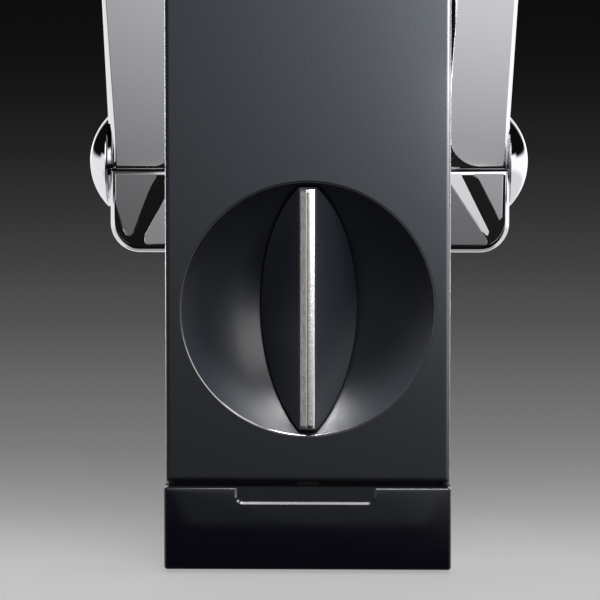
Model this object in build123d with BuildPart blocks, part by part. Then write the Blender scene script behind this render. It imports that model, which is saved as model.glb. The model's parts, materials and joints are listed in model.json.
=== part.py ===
"""Upright electric can opener: a narrow black tower on a base with a pull-out drip tray, a rotary
selector set in a round dish, and a chrome lever yoke that straddles the tower.

Frame: +Z up, the front faces -Y, X runs across the width. The origin is at the bottom centre of the
opener's box. Lengths are in millimetres. Depths (v) are measured back from the tower's front face.
"""
from build123d import *
import math
import os

os.makedirs("parts", exist_ok=True)

# ---------------------------------------------------------------- driving dimensions
YF = -27.9                 # Y of the tower's front face
TOWER_W = 64.0             # tower width
TOWER_D = 72.0             # tower depth
TOWER_Z0 = 20.6            # underside of the tower
TOWER_Z1 = 210.0           # top of the tower
SPLIT_V = 46.0             # parting line between the front and rear covers
WALL = 2.4
SCREW_X = 26.8             # housing screw columns, at the tower's four corners
SCREW_Z = (27.6, 203.0)

BASE_W = 64.4
BASE_V0 = 3.2              # front of the base housing, behind the tray front
BASE_V1 = 96.0
BASE_Z0 = 1.2              # underside of the base
BASE_Z1 = 19.6

TRAY_V0 = -2.0             # front face of the tray front
TRAY_FRONT_W = 64.6
TRAY_FRONT_Z0 = 0.9
TRAY_FRONT_Z1 = 19.5
RECESS_W = 32.3            # finger recess in the tray front
RECESS_H = 3.8

DISH_Z = 59.6              # centre of the selector dish
DISH_R = 28.5              # rim radius of the hollow
DISH_DEPTH = 17.0
DISH_EDGE = 28.9           # outer radius of the dish's flush lip
KNOB_GAP = 0.8             # gap between the grip and the dish
STRIP_W = 3.3
STRIP_L = 53.6
KNOB_FLANK = 0.653         # sideways run of a grip flank per millimetre of depth

PIV_V, PIV_Z = 33.0, 91.8  # lever pivot axis, along X
KNUCKLE_R = 9.0            # round ends of the lever arms
SHAFT_R = 4.0
ARM_X0, ARM_X1 = 32.9, 46.2    # arm at the pivot
ARM_TOP_X0, ARM_TOP_X1 = 37.7, 54.7   # arm at the handle bar
BAR_Z = 238.0              # axis of the handle bar
BAR_R = 5.0
GRIP_R = 8.0
SEAM_Z = 90.4              # top of the bracket's front lip
BRACKET_V0, BRACKET_V1 = 22.6, 47.0
BRACKET_Z0 = 71.0
LEAN_UP = 7.2              # height above the pivot where the arms' outer faces start to lean out
CAP_R = 10.6
CAP_X0, CAP_X1 = 46.9, 51.7

LIFT_M = 1.0               # module of the lift rack and pinion
LIFT_T = 16
LIFT_R = LIFT_M * LIFT_T / 2
LIFT_X0, LIFT_X1 = 15.0, 22.2

M_A, M_B = 1.0, 0.8        # gear modules: second and third stages, first stage
T_PINION, T_BIG, T_FIRST = 12, 34, 42
DRIVE = (0.0, 170.0)       # x, z of the drive shaft
S2 = (-9.0, 148.835)       # second stage shaft
S1 = (11.0, 137.477)       # first stage shaft
MOTOR = (-4.0, 121.934)    # motor shaft
L3, L2, L1 = 8.0, 14.0, 19.0   # depths of the three gear layers
PLATE_A, PLATE_B = 5.0, 24.0   # depths of the gear plates

HEAD_Z0, HEAD_Z1 = 187.0, 209.0
CUTTER_Z = 191.3
CUTTER_R = 9.0
MAG_V, MAG_Z = -10.4, 204.5    # magnet arm hinge


# ---------------------------------------------------------------- helpers
def XZ(v):
    """Plane across the depth at v, with local x = X and local y = Z. Its normal points to -Y."""
    return Plane(origin=(0, YF + v, 0), x_dir=(1, 0, 0), z_dir=(0, -1, 0))


def YZ(x):
    """Plane across the width at x, with local x = Y and local y = Z. Its normal points to +X."""
    return Plane(origin=(x, 0, 0), x_dir=(0, 1, 0), z_dir=(1, 0, 0))


def gear_points(teeth, module, tooth_at_deg=0.0, backlash=0.16):
    """Outline of an involute spur gear, with one tooth centred at tooth_at_deg."""
    rp = teeth * module / 2
    pa = math.radians(20)
    rb = rp * math.cos(pa)
    ra = rp + module * 0.96
    rf = rp - module * 1.25
    half = math.pi / (2 * teeth) - backlash / (2 * rp)
    inv = lambda a: math.tan(a) - a
    base_half = half + inv(pa)
    pts = []
    r_start = max(rb, rf + 0.05)
    for k in range(teeth):
        c = math.radians(tooth_at_deg) + 2 * math.pi * k / teeth
        flank = []
        for i in range(4):
            r = r_start + (ra - r_start) * i / 3
            a = math.acos(min(1.0, rb / r))
            flank.append((r, base_half - inv(a)))
        pts.append((rf, c - base_half - 0.004))
        pts += [(r, c - t) for r, t in flank]
        pts += [(r, c + t) for r, t in reversed(flank)]
        pts.append((rf, c + base_half + 0.004))
    return [(r * math.cos(a), r * math.sin(a)) for r, a in pts]


def save(part, name):
    part.label = name
    export_step(part, f"parts/{name}.step")


def angle_to(a, b):
    return math.degrees(math.atan2(b[1] - a[1], b[0] - a[0]))


def y(v):
    return YF + v


R_DISH = (DISH_R ** 2 + DISH_DEPTH ** 2) / (2 * DISH_DEPTH)   # sphere radius of the dish
V_DISH = DISH_DEPTH - R_DISH                                  # its centre, in front of the face
ZM = (TOWER_Z0 + TOWER_Z1) / 2
HZ = TOWER_Z1 - TOWER_Z0
CORNERS = [(-SCREW_X, SCREW_Z[0]), (SCREW_X, SCREW_Z[0]), (-SCREW_X, SCREW_Z[1]), (SCREW_X, SCREW_Z[1])]
PLATE_POSTS = [(-25.0, 113.0), (25.0, 113.0), (-25.0, 185.0), (25.0, 185.0)]
BRACKET_SCREWS = [(y(29.0), 76.5), (y(41.0), 76.5)]
BASE_SCREWS = [(-20.0, y(12.0)), (20.0, y(12.0)), (-20.0, y(68.2)), (20.0, y(68.2))]
PAN_SCREWS = [(-25.6, y(70.5)), (25.6, y(70.5)), (-22.0, y(88.0)), (22.0, y(88.0))]

# ================================================================ tower
with BuildPart() as front_cover:
    with BuildSketch(XZ(0)):
        with Locations((0, ZM)):
            Rectangle(TOWER_W, HZ)
    extrude(amount=-SPLIT_V)
    fillet(front_cover.faces().sort_by(Axis.Y)[0].edges(), radius=1.1)
    with BuildSketch(XZ(WALL)):
        with Locations((0, ZM)):
            Rectangle(TOWER_W - 2 * WALL, HZ - 2 * WALL)
    extrude(amount=-(SPLIT_V - WALL), mode=Mode.SUBTRACT)
    # round opening for the selector dish
    with BuildSketch(XZ(-1)):
        with Locations((0, DISH_Z)):
            Circle(DISH_EDGE)
    extrude(amount=-(WALL + 2), mode=Mode.SUBTRACT)
    # drive shaft bush hole and the can guide pin holes
    with BuildSketch(XZ(-1)):
        with Locations(DRIVE):
            Circle(6.0)
        with Locations((-18.0, 175.0), (18.0, 175.0)):
            Circle(2.0)
    extrude(amount=-(WALL + 2), mode=Mode.SUBTRACT)
    # slot for the neck of the lift rack
    with BuildSketch(XZ(-1)):
        with Locations((0, 199.1)):
            RectangleRounded(8.6, 17.4, 1.0)
    extrude(amount=-(WALL + 2), mode=Mode.SUBTRACT)
    # pivot bush holes and bracket screw holes in both side walls
    with BuildSketch(YZ(-40)):
        with Locations((y(PIV_V), PIV_Z)):
            Circle(6.0)
        with Locations(*BRACKET_SCREWS):
            Circle(1.5)
    extrude(amount=80, mode=Mode.SUBTRACT)
    # base screw holes in the floor
    with BuildSketch(Plane.XY.offset(TOWER_Z0 - 1)):
        with Locations(*BASE_SCREWS[:2]):
            Circle(1.5)
    extrude(amount=WALL + 2, mode=Mode.SUBTRACT)
    # screw columns and the stand-offs for the gear plates
    with BuildSketch(XZ(SPLIT_V)):
        with Locations(*CORNERS):
            Circle(3.0)
    extrude(amount=18)
    with BuildSketch(XZ(SPLIT_V)):
        with Locations(*CORNERS):
            Circle(1.3)
    extrude(amount=14, mode=Mode.SUBTRACT)
    with BuildSketch(XZ(PLATE_A)):
        with Locations(*PLATE_POSTS):
            Circle(3.5)
    extrude(amount=PLATE_A - WALL + 0.2)
save(front_cover.part, "front_cover")

with BuildPart() as rear_cover:
    with BuildSketch(XZ(SPLIT_V)):
        with Locations((0, ZM)):
            Rectangle(TOWER_W, HZ)
    extrude(amount=-(TOWER_D - SPLIT_V))
    fillet(rear_cover.faces().sort_by(Axis.Y)[-1].edges(), radius=6.0)
    with BuildSketch(XZ(SPLIT_V)):
        with Locations((0, ZM)):
            RectangleRounded(TOWER_W - 2 * WALL, HZ - 2 * WALL, 2.0)
    extrude(amount=-(TOWER_D - SPLIT_V - WALL), mode=Mode.SUBTRACT)
    # cooling slots in the back wall, level with the motor fan
    with BuildSketch(XZ(TOWER_D - WALL - 1)):
        with Locations((-4.0, 122.0)):
            with GridLocations(1, 5.6, 1, 7):
                SlotOverall(32.0, 2.4)
    extrude(amount=-(WALL + 2), mode=Mode.SUBTRACT)
    # opening for the mains inlet
    with BuildSketch(XZ(TOWER_D - WALL - 1)):
        with Locations((0, 38.0)):
            Circle(6.0)
    extrude(amount=-(WALL + 2), mode=Mode.SUBTRACT)
    # base screw holes in the floor
    with BuildSketch(Plane.XY.offset(TOWER_Z0 - 1)):
        with Locations(*BASE_SCREWS[2:]):
            Circle(1.5)
    extrude(amount=WALL + 2, mode=Mode.SUBTRACT)
    # screw columns, counterbored from the back
    with BuildSketch(XZ(TOWER_D - WALL)):
        with Locations(*CORNERS):
            Circle(3.0)
    extrude(amount=TOWER_D - WALL - SPLIT_V)
    with BuildSketch(XZ(TOWER_D + 1)):
        with Locations(*CORNERS):
            Circle(1.3)
    extrude(amount=TOWER_D - SPLIT_V + 2, mode=Mode.SUBTRACT)
    with BuildSketch(XZ(TOWER_D + 1)):
        with Locations(*CORNERS):
            Circle(2.4)
    extrude(amount=8.0, mode=Mode.SUBTRACT)
    # stand-offs for the control board
    with BuildSketch(XZ(56.0)):
        with Locations((-20, 48), (20, 48), (-20, 76), (20, 76)):
            Circle(2.4)
    extrude(amount=-(TOWER_D - WALL - 56.0 + 0.2))
    # guide for the lift rack
    with BuildSketch(Plane.XY.offset(152.0)):
        with Locations((18.6, y(48.6))):
            Rectangle(12.0, 5.2)
        with Locations((18.6, y(60.4))):
            Rectangle(6.0, 19.2)
    extrude(amount=9.0)
save(rear_cover.part, "rear_cover")

with BuildPart() as housing_screws:
    with BuildSketch(XZ(65.0)):
        with Locations(*CORNERS):
            Circle(1.3)
    extrude(amount=30.0)
    with BuildSketch(XZ(65.0)):
        with Locations(*CORNERS):
            Circle(2.4)
    extrude(amount=-1.8)
    with BuildSketch(XZ(66.8)):
        with Locations(*CORNERS):
            Rectangle(3.2, 0.6)
            Rectangle(0.6, 3.2)
    extrude(amount=0.8, mode=Mode.SUBTRACT)
save(housing_screws.part, "housing_screws")

with BuildPart() as cord_inlet:
    with BuildSketch(XZ(TOWER_D - WALL - 3)):
        with Locations((0, 38.0)):
            Circle(6.0)
    extrude(amount=-(WALL + 3))
    with BuildSketch(XZ(TOWER_D)):
        with Locations((0, 38.0)):
            Circle(8.0)
    extrude(amount=-2.0)
    chamfer(cord_inlet.faces().sort_by(Axis.Y)[-1].edges(), length=0.7)
    with BuildSketch(XZ(TOWER_D - WALL - 3)):
        with Locations((0, 38.0)):
            Circle(8.0)
            Circle(5.9, mode=Mode.SUBTRACT)
    extrude(amount=-2.99)
    with BuildSketch(XZ(TOWER_D + 3)):
        with Locations((0, 38.0)):
            Circle(3.4)
    extrude(amount=12, mode=Mode.SUBTRACT)
save(cord_inlet.part, "cord_inlet")

# ================================================================ base
BL = BASE_V1 - BASE_V0
with BuildPart() as base_housing:
    with BuildSketch(Plane.XY.offset(BASE_Z0)):
        with Locations((0, y(BASE_V0 + BL / 2))):
            Rectangle(BASE_W, BL)
    extrude(amount=BASE_Z1 - BASE_Z0)
    fillet(base_housing.edges().filter_by(Axis.Z).sort_by(Axis.Y)[-2:], radius=12.0)
    # plinth that the tower stands on
    with BuildSketch(Plane.XY.offset(BASE_Z1)):
        with Locations((0, y(38.0))):
            Rectangle(61.0, 66.0)
    extrude(amount=TOWER_Z0 - BASE_Z1)
    # tray bay, open at the front
    with BuildSketch(XZ(BASE_V0 - 1)):
        with Locations((0, 10.7)):
            Rectangle(58.8, 13.4)
    extrude(amount=-59.8, mode=Mode.SUBTRACT)
    # rear bay, open underneath
    with BuildSketch(Plane.XY.offset(BASE_Z0 - 1)):
        with Locations((0, y(79.5))):
            RectangleRounded(58.0, 27.0, 4.0)
    extrude(amount=16.6, mode=Mode.SUBTRACT)
    with BuildSketch(Plane.XY.offset(3.2)):
        with Locations(*PAN_SCREWS):
            Circle(3.0)
    extrude(amount=14.0)
    with BuildSketch(Plane.XY.offset(0)):
        with Locations(*PAN_SCREWS):
            Circle(1.3)
    extrude(amount=12.0, mode=Mode.SUBTRACT)
    # tower screws
    with BuildSketch(Plane.XY.offset(16.0)):
        with Locations(*BASE_SCREWS):
            Circle(1.5)
    extrude(amount=6, mode=Mode.SUBTRACT)
    with BuildSketch(Plane.XY.offset(17.3)):
        with Locations(*BASE_SCREWS[:2]):
            Circle(3.0)
    extrude(amount=1.2, mode=Mode.SUBTRACT)
save(base_housing.part, "base_housing")

with BuildPart() as base_screws:
    with BuildSketch(Plane.XY.offset(18.0)):
        with Locations(*BASE_SCREWS):
            Circle(1.5)
    extrude(amount=6.0)
    with BuildSketch(Plane.XY.offset(17.5)):
        with Locations(*BASE_SCREWS[:2]):
            Circle(3.0)
    extrude(amount=1.0)
    with BuildSketch(Plane.XY.offset(16.0)):
        with Locations(*BASE_SCREWS[2:]):
            Circle(1.5)
    extrude(amount=2.5)
    with BuildSketch(Plane.XY.offset(15.0)):
        with Locations(*BASE_SCREWS[2:]):
            Circle(2.0)
    extrude(amount=1.2)
    # closing plate screws
    with BuildSketch(Plane.XY.offset(BASE_Z0)):
        with Locations(*PAN_SCREWS):
            Circle(1.3)
    extrude(amount=10.0)
save(base_screws.part, "base_screws")

with BuildPart() as base_plate:
    with BuildSketch(Plane.XY.offset(BASE_Z0)):
        with Locations((0, y(79.5))):
            RectangleRounded(57.8, 26.8, 3.9)
    extrude(amount=2.0)
    with BuildSketch(Plane.XY.offset(BASE_Z0)):
        with Locations(*PAN_SCREWS):
            Circle(1.3)
    extrude(amount=2.0, mode=Mode.SUBTRACT)
save(base_plate.part, "base_plate")

with BuildPart() as ballast_plate:
    with BuildSketch(Plane.XY.offset(3.2)):
        with Locations((0, y(79.5))):
            Rectangle(36.0, 24.0)
    extrude(amount=9.0)
    chamfer(ballast_plate.faces().sort_by(Axis.Z)[-1].edges(), length=1.0)
save(ballast_plate.part, "ballast_plate")

with BuildPart() as non_slip_pad:
    with BuildSketch(Plane.XY):
        with Locations((0, y(49.0))):
            RectangleRounded(56.0, 84.0, 6.0)
    extrude(amount=BASE_Z0)
save(non_slip_pad.part, "non_slip_pad")

with BuildPart() as tray_catch:
    with BuildSketch(Plane.XY.offset(BASE_Z1)):
        with Locations((0, y(4.1))):
            Rectangle(5.0, 1.6)
        with Locations((-30.9, y(4.1)), (30.9, y(4.1))):
            Circle(0.8)
    extrude(amount=0.7)
save(tray_catch.part, "tray_catch")

# ================================================================ drip tray
with BuildPart() as tray_front:
    zc = (TRAY_FRONT_Z0 + TRAY_FRONT_Z1) / 2
    with BuildSketch(XZ(TRAY_V0)):
        with Locations((0, zc)):
            Rectangle(TRAY_FRONT_W, TRAY_FRONT_Z1 - TRAY_FRONT_Z0)
    extrude(amount=-(3.0 - TRAY_V0))
    fillet(tray_front.edges().filter_by(Axis.Y).sort_by(Axis.Z)[:2], radius=1.6)
    fillet(tray_front.faces().sort_by(Axis.Y)[0].edges(), radius=0.8)
    # finger recess along the top edge
    with BuildSketch(XZ(TRAY_V0)):
        with Locations((0, TRAY_FRONT_Z1 - RECESS_H / 2 + 2.0)):
            RectangleRounded(RECESS_W, RECESS_H + 4.0, 1.8)
    extrude(amount=-3.4, mode=Mode.SUBTRACT)
save(tray_front.part, "tray_front")

with BuildPart() as drip_tray:
    with BuildSketch(Plane.XY.offset(4.3)):
        with Locations((0, y(32.0))):
            RectangleRounded(58.0, 57.0, 2.5)
    extrude(amount=10.4)
    with BuildSketch(Plane.XY.offset(5.6)):
        with Locations((0, y(32.0))):
            RectangleRounded(55.4, 54.4, 2.0)
    extrude(amount=12, mode=Mode.SUBTRACT)
    with BuildSketch(XZ(2.9)):
        with Locations((0, 9.3)):
            Rectangle(50.0, 8.0)
    extrude(amount=-1.8)
    with BuildSketch(XZ(3.0)):
        with Locations((0, 9.3)):
            Rectangle(70.0, 30.0)
    extrude(amount=3, mode=Mode.SUBTRACT)
save(drip_tray.part, "drip_tray")

# ================================================================ selector
PD = Plane(origin=(0, YF, DISH_Z), x_dir=(1, 0, 0), z_dir=(0, 0, 1))     # local x = X, local y = depth
SEL_AXIS = Axis((0, YF, DISH_Z), (0, 1, 0))


def on_sphere(radius, depth):
    return math.sqrt(radius ** 2 - (depth - V_DISH) ** 2)


with BuildPart() as control_dish:
    ro = R_DISH + 2.0
    with BuildSketch(PD):
        with BuildLine():
            a = (DISH_R, 0)
            b = (on_sphere(R_DISH, 10.0), 10.0)
            c = (0, DISH_DEPTH)
            d = (0, DISH_DEPTH + 2.0)
            e = (on_sphere(ro, 12.0), 12.0)
            f = (on_sphere(ro, 4.2), 4.2)
            ThreePointArc(a, b, c)
            Line(c, d)
            ThreePointArc(d, e, f)
            Polyline(f, (29.5, 4.2), (29.5, WALL), (DISH_EDGE, WALL), (DISH_EDGE, 0), a)
        make_face()
    revolve(axis=SEL_AXIS, revolution_arc=360)
    with BuildSketch(XZ(10)):
        with Locations((0, DISH_Z)):
            Circle(5.6)
    extrude(amount=-14, mode=Mode.SUBTRACT)
save(control_dish.part, "control_dish")

with BuildPart() as control_knob:
    top = 0.5
    half = STRIP_W / 2
    with BuildSketch(Plane(origin=(0, YF, DISH_Z - 30), x_dir=(1, 0, 0), z_dir=(0, 0, 1))):
        with BuildLine():
            Polyline((-half - KNOB_FLANK * top, top), (half + KNOB_FLANK * top, top),
                     (half + KNOB_FLANK * 18, 18), (-half - KNOB_FLANK * 18, 18), close=True)
        make_face()
    extrude(amount=60)
    with Locations((0, YF + V_DISH, DISH_Z)):
        Sphere(R_DISH - KNOB_GAP, mode=Mode.INTERSECT)
    with BuildSketch(XZ(12.0)):
        with Locations((0, DISH_Z)):
            Circle(5.0)
    extrude(amount=-9.0)
    with BuildSketch(XZ(22.0)):
        with Locations((0, DISH_Z)):
            Circle(3.0)
    extrude(amount=8.0, mode=Mode.SUBTRACT)
save(control_knob.part, "control_knob")

with BuildPart() as knob_strip:
    with BuildSketch(Plane(origin=(0, YF, DISH_Z - STRIP_L / 2), x_dir=(1, 0, 0), z_dir=(0, 0, 1))):
        with BuildLine():
            Polyline((-half, 0.5), (half, 0.5), (half, 0.0), (0, -0.45), (-half, 0.0), close=True)
        make_face()
    extrude(amount=STRIP_L)
save(knob_strip.part, "knob_strip")

with BuildPart() as selector_spindle:
    with BuildSketch(XZ(14.0)):
        with Locations((0, DISH_Z)):
            Circle(3.0)
    extrude(amount=-17.0)
save(selector_spindle.part, "selector_spindle")

with BuildPart() as selector_switch:
    with BuildSketch(XZ(21.6)):
        with Locations((0, DISH_Z)):
            Circle(12.0)
    extrude(amount=-12.0)
    with BuildSketch(XZ(21.0)):
        with Locations((0, DISH_Z)):
            Circle(3.08)
    extrude(amount=-10.6, mode=Mode.SUBTRACT)
    # mounting lugs that reach the housing side walls
    with BuildSketch(XZ(24.0)):
        with Locations((0, DISH_Z)):
            Rectangle(TOWER_W - 2 * WALL, 7.0)
            Circle(7.0, mode=Mode.SUBTRACT)
    extrude(amount=-2.4)
    # terminals
    with BuildSketch(XZ(33.0)):
        with Locations((0, DISH_Z)):
            with PolarLocations(8.5, 5):
                Rectangle(0.8, 3.2)
    extrude(amount=-6.0)
save(selector_switch.part, "selector_switch")

# ================================================================ hinge brackets


for s, side in ((-1, "left"), (1, "right")):
    with BuildPart() as bracket:
        # square against the tower, large radius at the outer bottom corner
        with BuildSketch(XZ(BRACKET_V0)):
            with BuildLine():
                x0, x1, r = 32.0, 46.2, 10.0
                m = r * (1 - math.sqrt(0.5))
                Line((s * x0, SEAM_Z), (s * x0, BRACKET_Z0))
                Line((s * x0, BRACKET_Z0), (s * (x1 - r), BRACKET_Z0))
                ThreePointArc((s * (x1 - r), BRACKET_Z0), (s * (x1 - m), BRACKET_Z0 + m), (s * x1, BRACKET_Z0 + r))
                Line((s * x1, BRACKET_Z0 + r), (s * x1, SEAM_Z))
                Line((s * x1, SEAM_Z), (s * x0, SEAM_Z))
            make_face()
        extrude(amount=-(BRACKET_V1 - BRACKET_V0))
        # seat for the arm's knuckle and a low rear shelf for the arm to swing over
        with BuildSketch(YZ(-60)):
            with Locations((y(PIV_V), PIV_Z)):
                Circle(KNUCKLE_R + 0.4)
            with Locations((y(PIV_V) + 20, PIV_Z + 2.1)):
                Rectangle(40, 20)
        extrude(amount=120, mode=Mode.SUBTRACT)
        with BuildSketch(YZ(s * 30.0)):
            with Locations(*BRACKET_SCREWS):
                Circle(1.5)
        extrude(amount=s * 9.0, mode=Mode.SUBTRACT)
    save(bracket.part, f"{side}_bracket")

with BuildPart() as bracket_screws:
    for s in (-1, 1):
        with BuildSketch(YZ(s * 29.6)):
            with Locations(*BRACKET_SCREWS):
                Circle(1.5)
        extrude(amount=s * 9.2)
        with BuildSketch(YZ(s * 29.6)):
            with Locations(*BRACKET_SCREWS):
                Circle(2.6)
        extrude(amount=-s * 1.8)
save(bracket_screws.part, "bracket_screws")

with BuildPart() as pivot_bushes:
    for s in (-1, 1):
        with BuildSketch(YZ(s * 32.4)):
            with Locations((y(PIV_V), PIV_Z)):
                Circle(6.0)
                Circle(SHAFT_R + 0.06, mode=Mode.SUBTRACT)
        extrude(amount=-s * 4.8)
        with BuildSketch(YZ(s * 29.6)):
            with Locations((y(PIV_V), PIV_Z)):
                Circle(8.0)
                Circle(SHAFT_R + 0.06, mode=Mode.SUBTRACT)
        extrude(amount=-s * 2.0)
save(pivot_bushes.part, "pivot_bushes")

# ================================================================ lever yoke


def arm_x(z, inner):
    if inner:
        return ARM_X0 + (ARM_TOP_X0 - ARM_X0) * (z - PIV_Z) / (BAR_Z - PIV_Z)
    z0 = PIV_Z + LEAN_UP
    return ARM_X1 + (ARM_TOP_X1 - ARM_X1) * (z - z0) / (BAR_Z - z0)


for s, side in ((-1, "left"), (1, "right")):
    with BuildPart() as arm:
        zc, zl = (PIV_Z + BAR_Z) / 2, BAR_Z - PIV_Z + 2 * KNUCKLE_R
        with BuildSketch(YZ(s * ARM_X0)):
            with Locations((y(PIV_V), zc)):
                SlotOverall(zl, 2 * KNUCKLE_R, rotation=90)
        extrude(amount=s * 30.0)
        # splay: trim both sides to the leaning lines, upright below the pivot
        with BuildSketch(XZ(0)):
            with BuildLine():
                Polyline((s * ARM_X1, PIV_Z - 12), (s * ARM_X1, PIV_Z + LEAN_UP), (s * arm_x(252, False), 252),
                         (s * 70, 252), (s * 70, PIV_Z - 12), close=True)
            make_face()
            with BuildLine():
                Polyline((s * ARM_X0, PIV_Z), (s * arm_x(252, True), 252), (s * 20, 252), (s * 20, PIV_Z),
                         close=True)
            make_face()
        extrude(amount=-70, mode=Mode.SUBTRACT)
        # hollow from the inner side, with a solid hub at each end
        with BuildSketch(XZ(PIV_V - KNUCKLE_R + 2.2)):
            with BuildLine():
                za, zb = PIV_Z + 13, BAR_Z - 13
                Polyline((s * 30, za), (s * (arm_x(za, False) - 2.4), za), (s * (arm_x(zb, False) - 2.4), zb),
                         (s * 30, zb), close=True)
            make_face()
        extrude(amount=-(2 * KNUCKLE_R - 4.4), mode=Mode.SUBTRACT)
        # bores for the pivot shaft and the handle bar
        with BuildSketch(YZ(s * 30.0)):
            with Locations((y(PIV_V), PIV_Z)):
                Circle(SHAFT_R)
        extrude(amount=s * 30.0, mode=Mode.SUBTRACT)
        with BuildSketch(YZ(s * 30.0)):
            with Locations((y(PIV_V), BAR_Z)):
                Circle(BAR_R)
        extrude(amount=s * 20.0, mode=Mode.SUBTRACT)
    save(arm.part, f"{side}_arm")

    with BuildPart() as cap:
        # shallow dome on a thin edge
        with BuildSketch(Plane(origin=(0, y(PIV_V), PIV_Z), x_dir=(1, 0, 0), z_dir=(0, -1, 0))):
            h = CAP_X1 - CAP_X0 - 0.5
            rd = (CAP_R ** 2 + h ** 2) / (2 * h)
            xm = CAP_X1 - rd + math.sqrt(rd ** 2 - (CAP_R * 0.5) ** 2)
            with BuildLine():
                Line((s * CAP_X0, 0), (s * CAP_X0, CAP_R))
                Line((s * CAP_X0, CAP_R), (s * (CAP_X0 + 0.5), CAP_R))
                ThreePointArc((s * (CAP_X0 + 0.5), CAP_R), (s * xm, CAP_R * 0.5), (s * CAP_X1, 0))
                Line((s * CAP_X1, 0), (s * CAP_X0, 0))
            make_face()
        revolve(axis=Axis((0, y(PIV_V), PIV_Z), (1, 0, 0)), revolution_arc=360)
        with BuildSketch(YZ(s * ARM_X1)):
            with Locations((y(PIV_V), PIV_Z)):
                Circle(7.0)
        extrude(amount=s * (CAP_X0 - ARM_X1 + 0.2))
        with BuildSketch(YZ(s * (ARM_X1 - 1))):
            with Locations((y(PIV_V), PIV_Z)):
                Circle(SHAFT_R)
        extrude(amount=s * 3.6, mode=Mode.SUBTRACT)
    save(cap.part, f"{side}_pivot_cap")

with BuildPart() as pivot_shaft:
    with BuildSketch(YZ(-48.8)):
        with Locations((y(PIV_V), PIV_Z)):
            Circle(SHAFT_R)
    extrude(amount=97.6)
    # switch cam
    with BuildSketch(YZ(-18.0)):
        with Locations((y(PIV_V), PIV_Z)):
            Circle(6.0)
        with Locations((y(PIV_V) + 2.4, PIV_Z)):
            Circle(4.6)
    extrude(amount=5.0)
save(pivot_shaft.part, "pivot_shaft")

with BuildPart() as handle_bar:
    with BuildSketch(YZ(-50.0)):
        with Locations((y(PIV_V), BAR_Z)):
            Circle(BAR_R)
    extrude(amount=100.0)
save(handle_bar.part, "handle_bar")

with BuildPart() as handle_grip:
    with BuildSketch(YZ(-34.0)):
        with Locations((y(PIV_V), BAR_Z)):
            Circle(GRIP_R)
            Circle(BAR_R, mode=Mode.SUBTRACT)
    extrude(amount=68.0)
    with BuildSketch(YZ(-34.0)):
        with Locations((y(PIV_V), BAR_Z)):
            Circle(GRIP_R + 2)
            Circle(GRIP_R - 0.8, mode=Mode.SUBTRACT)
    extrude(amount=1.6, mode=Mode.SUBTRACT)
    with BuildSketch(YZ(32.4)):
        with Locations((y(PIV_V), BAR_Z)):
            Circle(GRIP_R + 2)
            Circle(GRIP_R - 0.8, mode=Mode.SUBTRACT)
    extrude(amount=1.6, mode=Mode.SUBTRACT)
save(handle_grip.part, "handle_grip")

with BuildPart() as lift_pinion:
    with BuildSketch(YZ(LIFT_X0)):
        with Locations((y(PIV_V), PIV_Z)):
            Polygon(*gear_points(LIFT_T, LIFT_M, 0.0), align=None)
            Circle(SHAFT_R, mode=Mode.SUBTRACT)
    extrude(amount=LIFT_X1 - LIFT_X0)
save(lift_pinion.part, "lift_pinion")

with BuildPart() as start_switch:
    with BuildSketch(YZ(-19.5)):
        with Locations((y(33.0), 76.0)):
            Rectangle(20.0, 10.0)
    extrude(amount=8.0)
    with BuildSketch(YZ(-17.0)):
        with Locations((y(30.0), 81.8)):
            Rectangle(2.4, 2.4)
    extrude(amount=3.0)
    # bracket to the side wall
    with BuildSketch(YZ(-19.5)):
        with Locations((y(35.0), 76.0)):
            Rectangle(5.4, 6.0)
    extrude(amount=-10.1)
save(start_switch.part, "start_switch")

# ================================================================ lift rack and cutter head
with BuildPart() as lift_rack:
    pitch = math.pi * LIFT_M
    vp = PIV_V + LIFT_R                       # pitch line, behind the shaft
    vb = vp + 1.25 * LIFT_M
    bl = 0.16
    with BuildSketch(YZ(LIFT_X0)):
        with Locations((y((vb + 45.8) / 2), (78.0 + 207.0) / 2)):
            Rectangle(45.8 - vb, 129.0)
    extrude(amount=LIFT_X1 - LIFT_X0)
    with BuildSketch(YZ(LIFT_X0)):
        for i in range(-2, 7):
            zt = PIV_Z + (i + 0.5) * pitch
            hp = pitch / 4 - bl / 2
            ta = math.tan(math.radians(20))
            with BuildLine():
                Polyline((y(vp - 0.95 * LIFT_M), zt - hp + 0.95 * LIFT_M * ta),
                         (y(vp - 0.95 * LIFT_M), zt + hp - 0.95 * LIFT_M * ta),
                         (y(vb + 0.1), zt + hp + 1.3 * LIFT_M * ta), (y(vb + 0.1), zt - hp - 1.3 * LIFT_M * ta),
                         close=True)
            make_face()
    extrude(amount=LIFT_X1 - LIFT_X0)
    # cross arm over the gear train, then the neck forward through the front cover
    with BuildSketch(Plane.XY.offset(198.0)):
        with Locations(((LIFT_X1 - 3.6) / 2, y(43.0))):
            Rectangle(LIFT_X1 + 3.6, 5.6)
        with Locations((0, y(20.2))):
            Rectangle(7.2, 51.2)
    extrude(amount=9.0)
save(lift_rack.part, "lift_rack")

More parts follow.
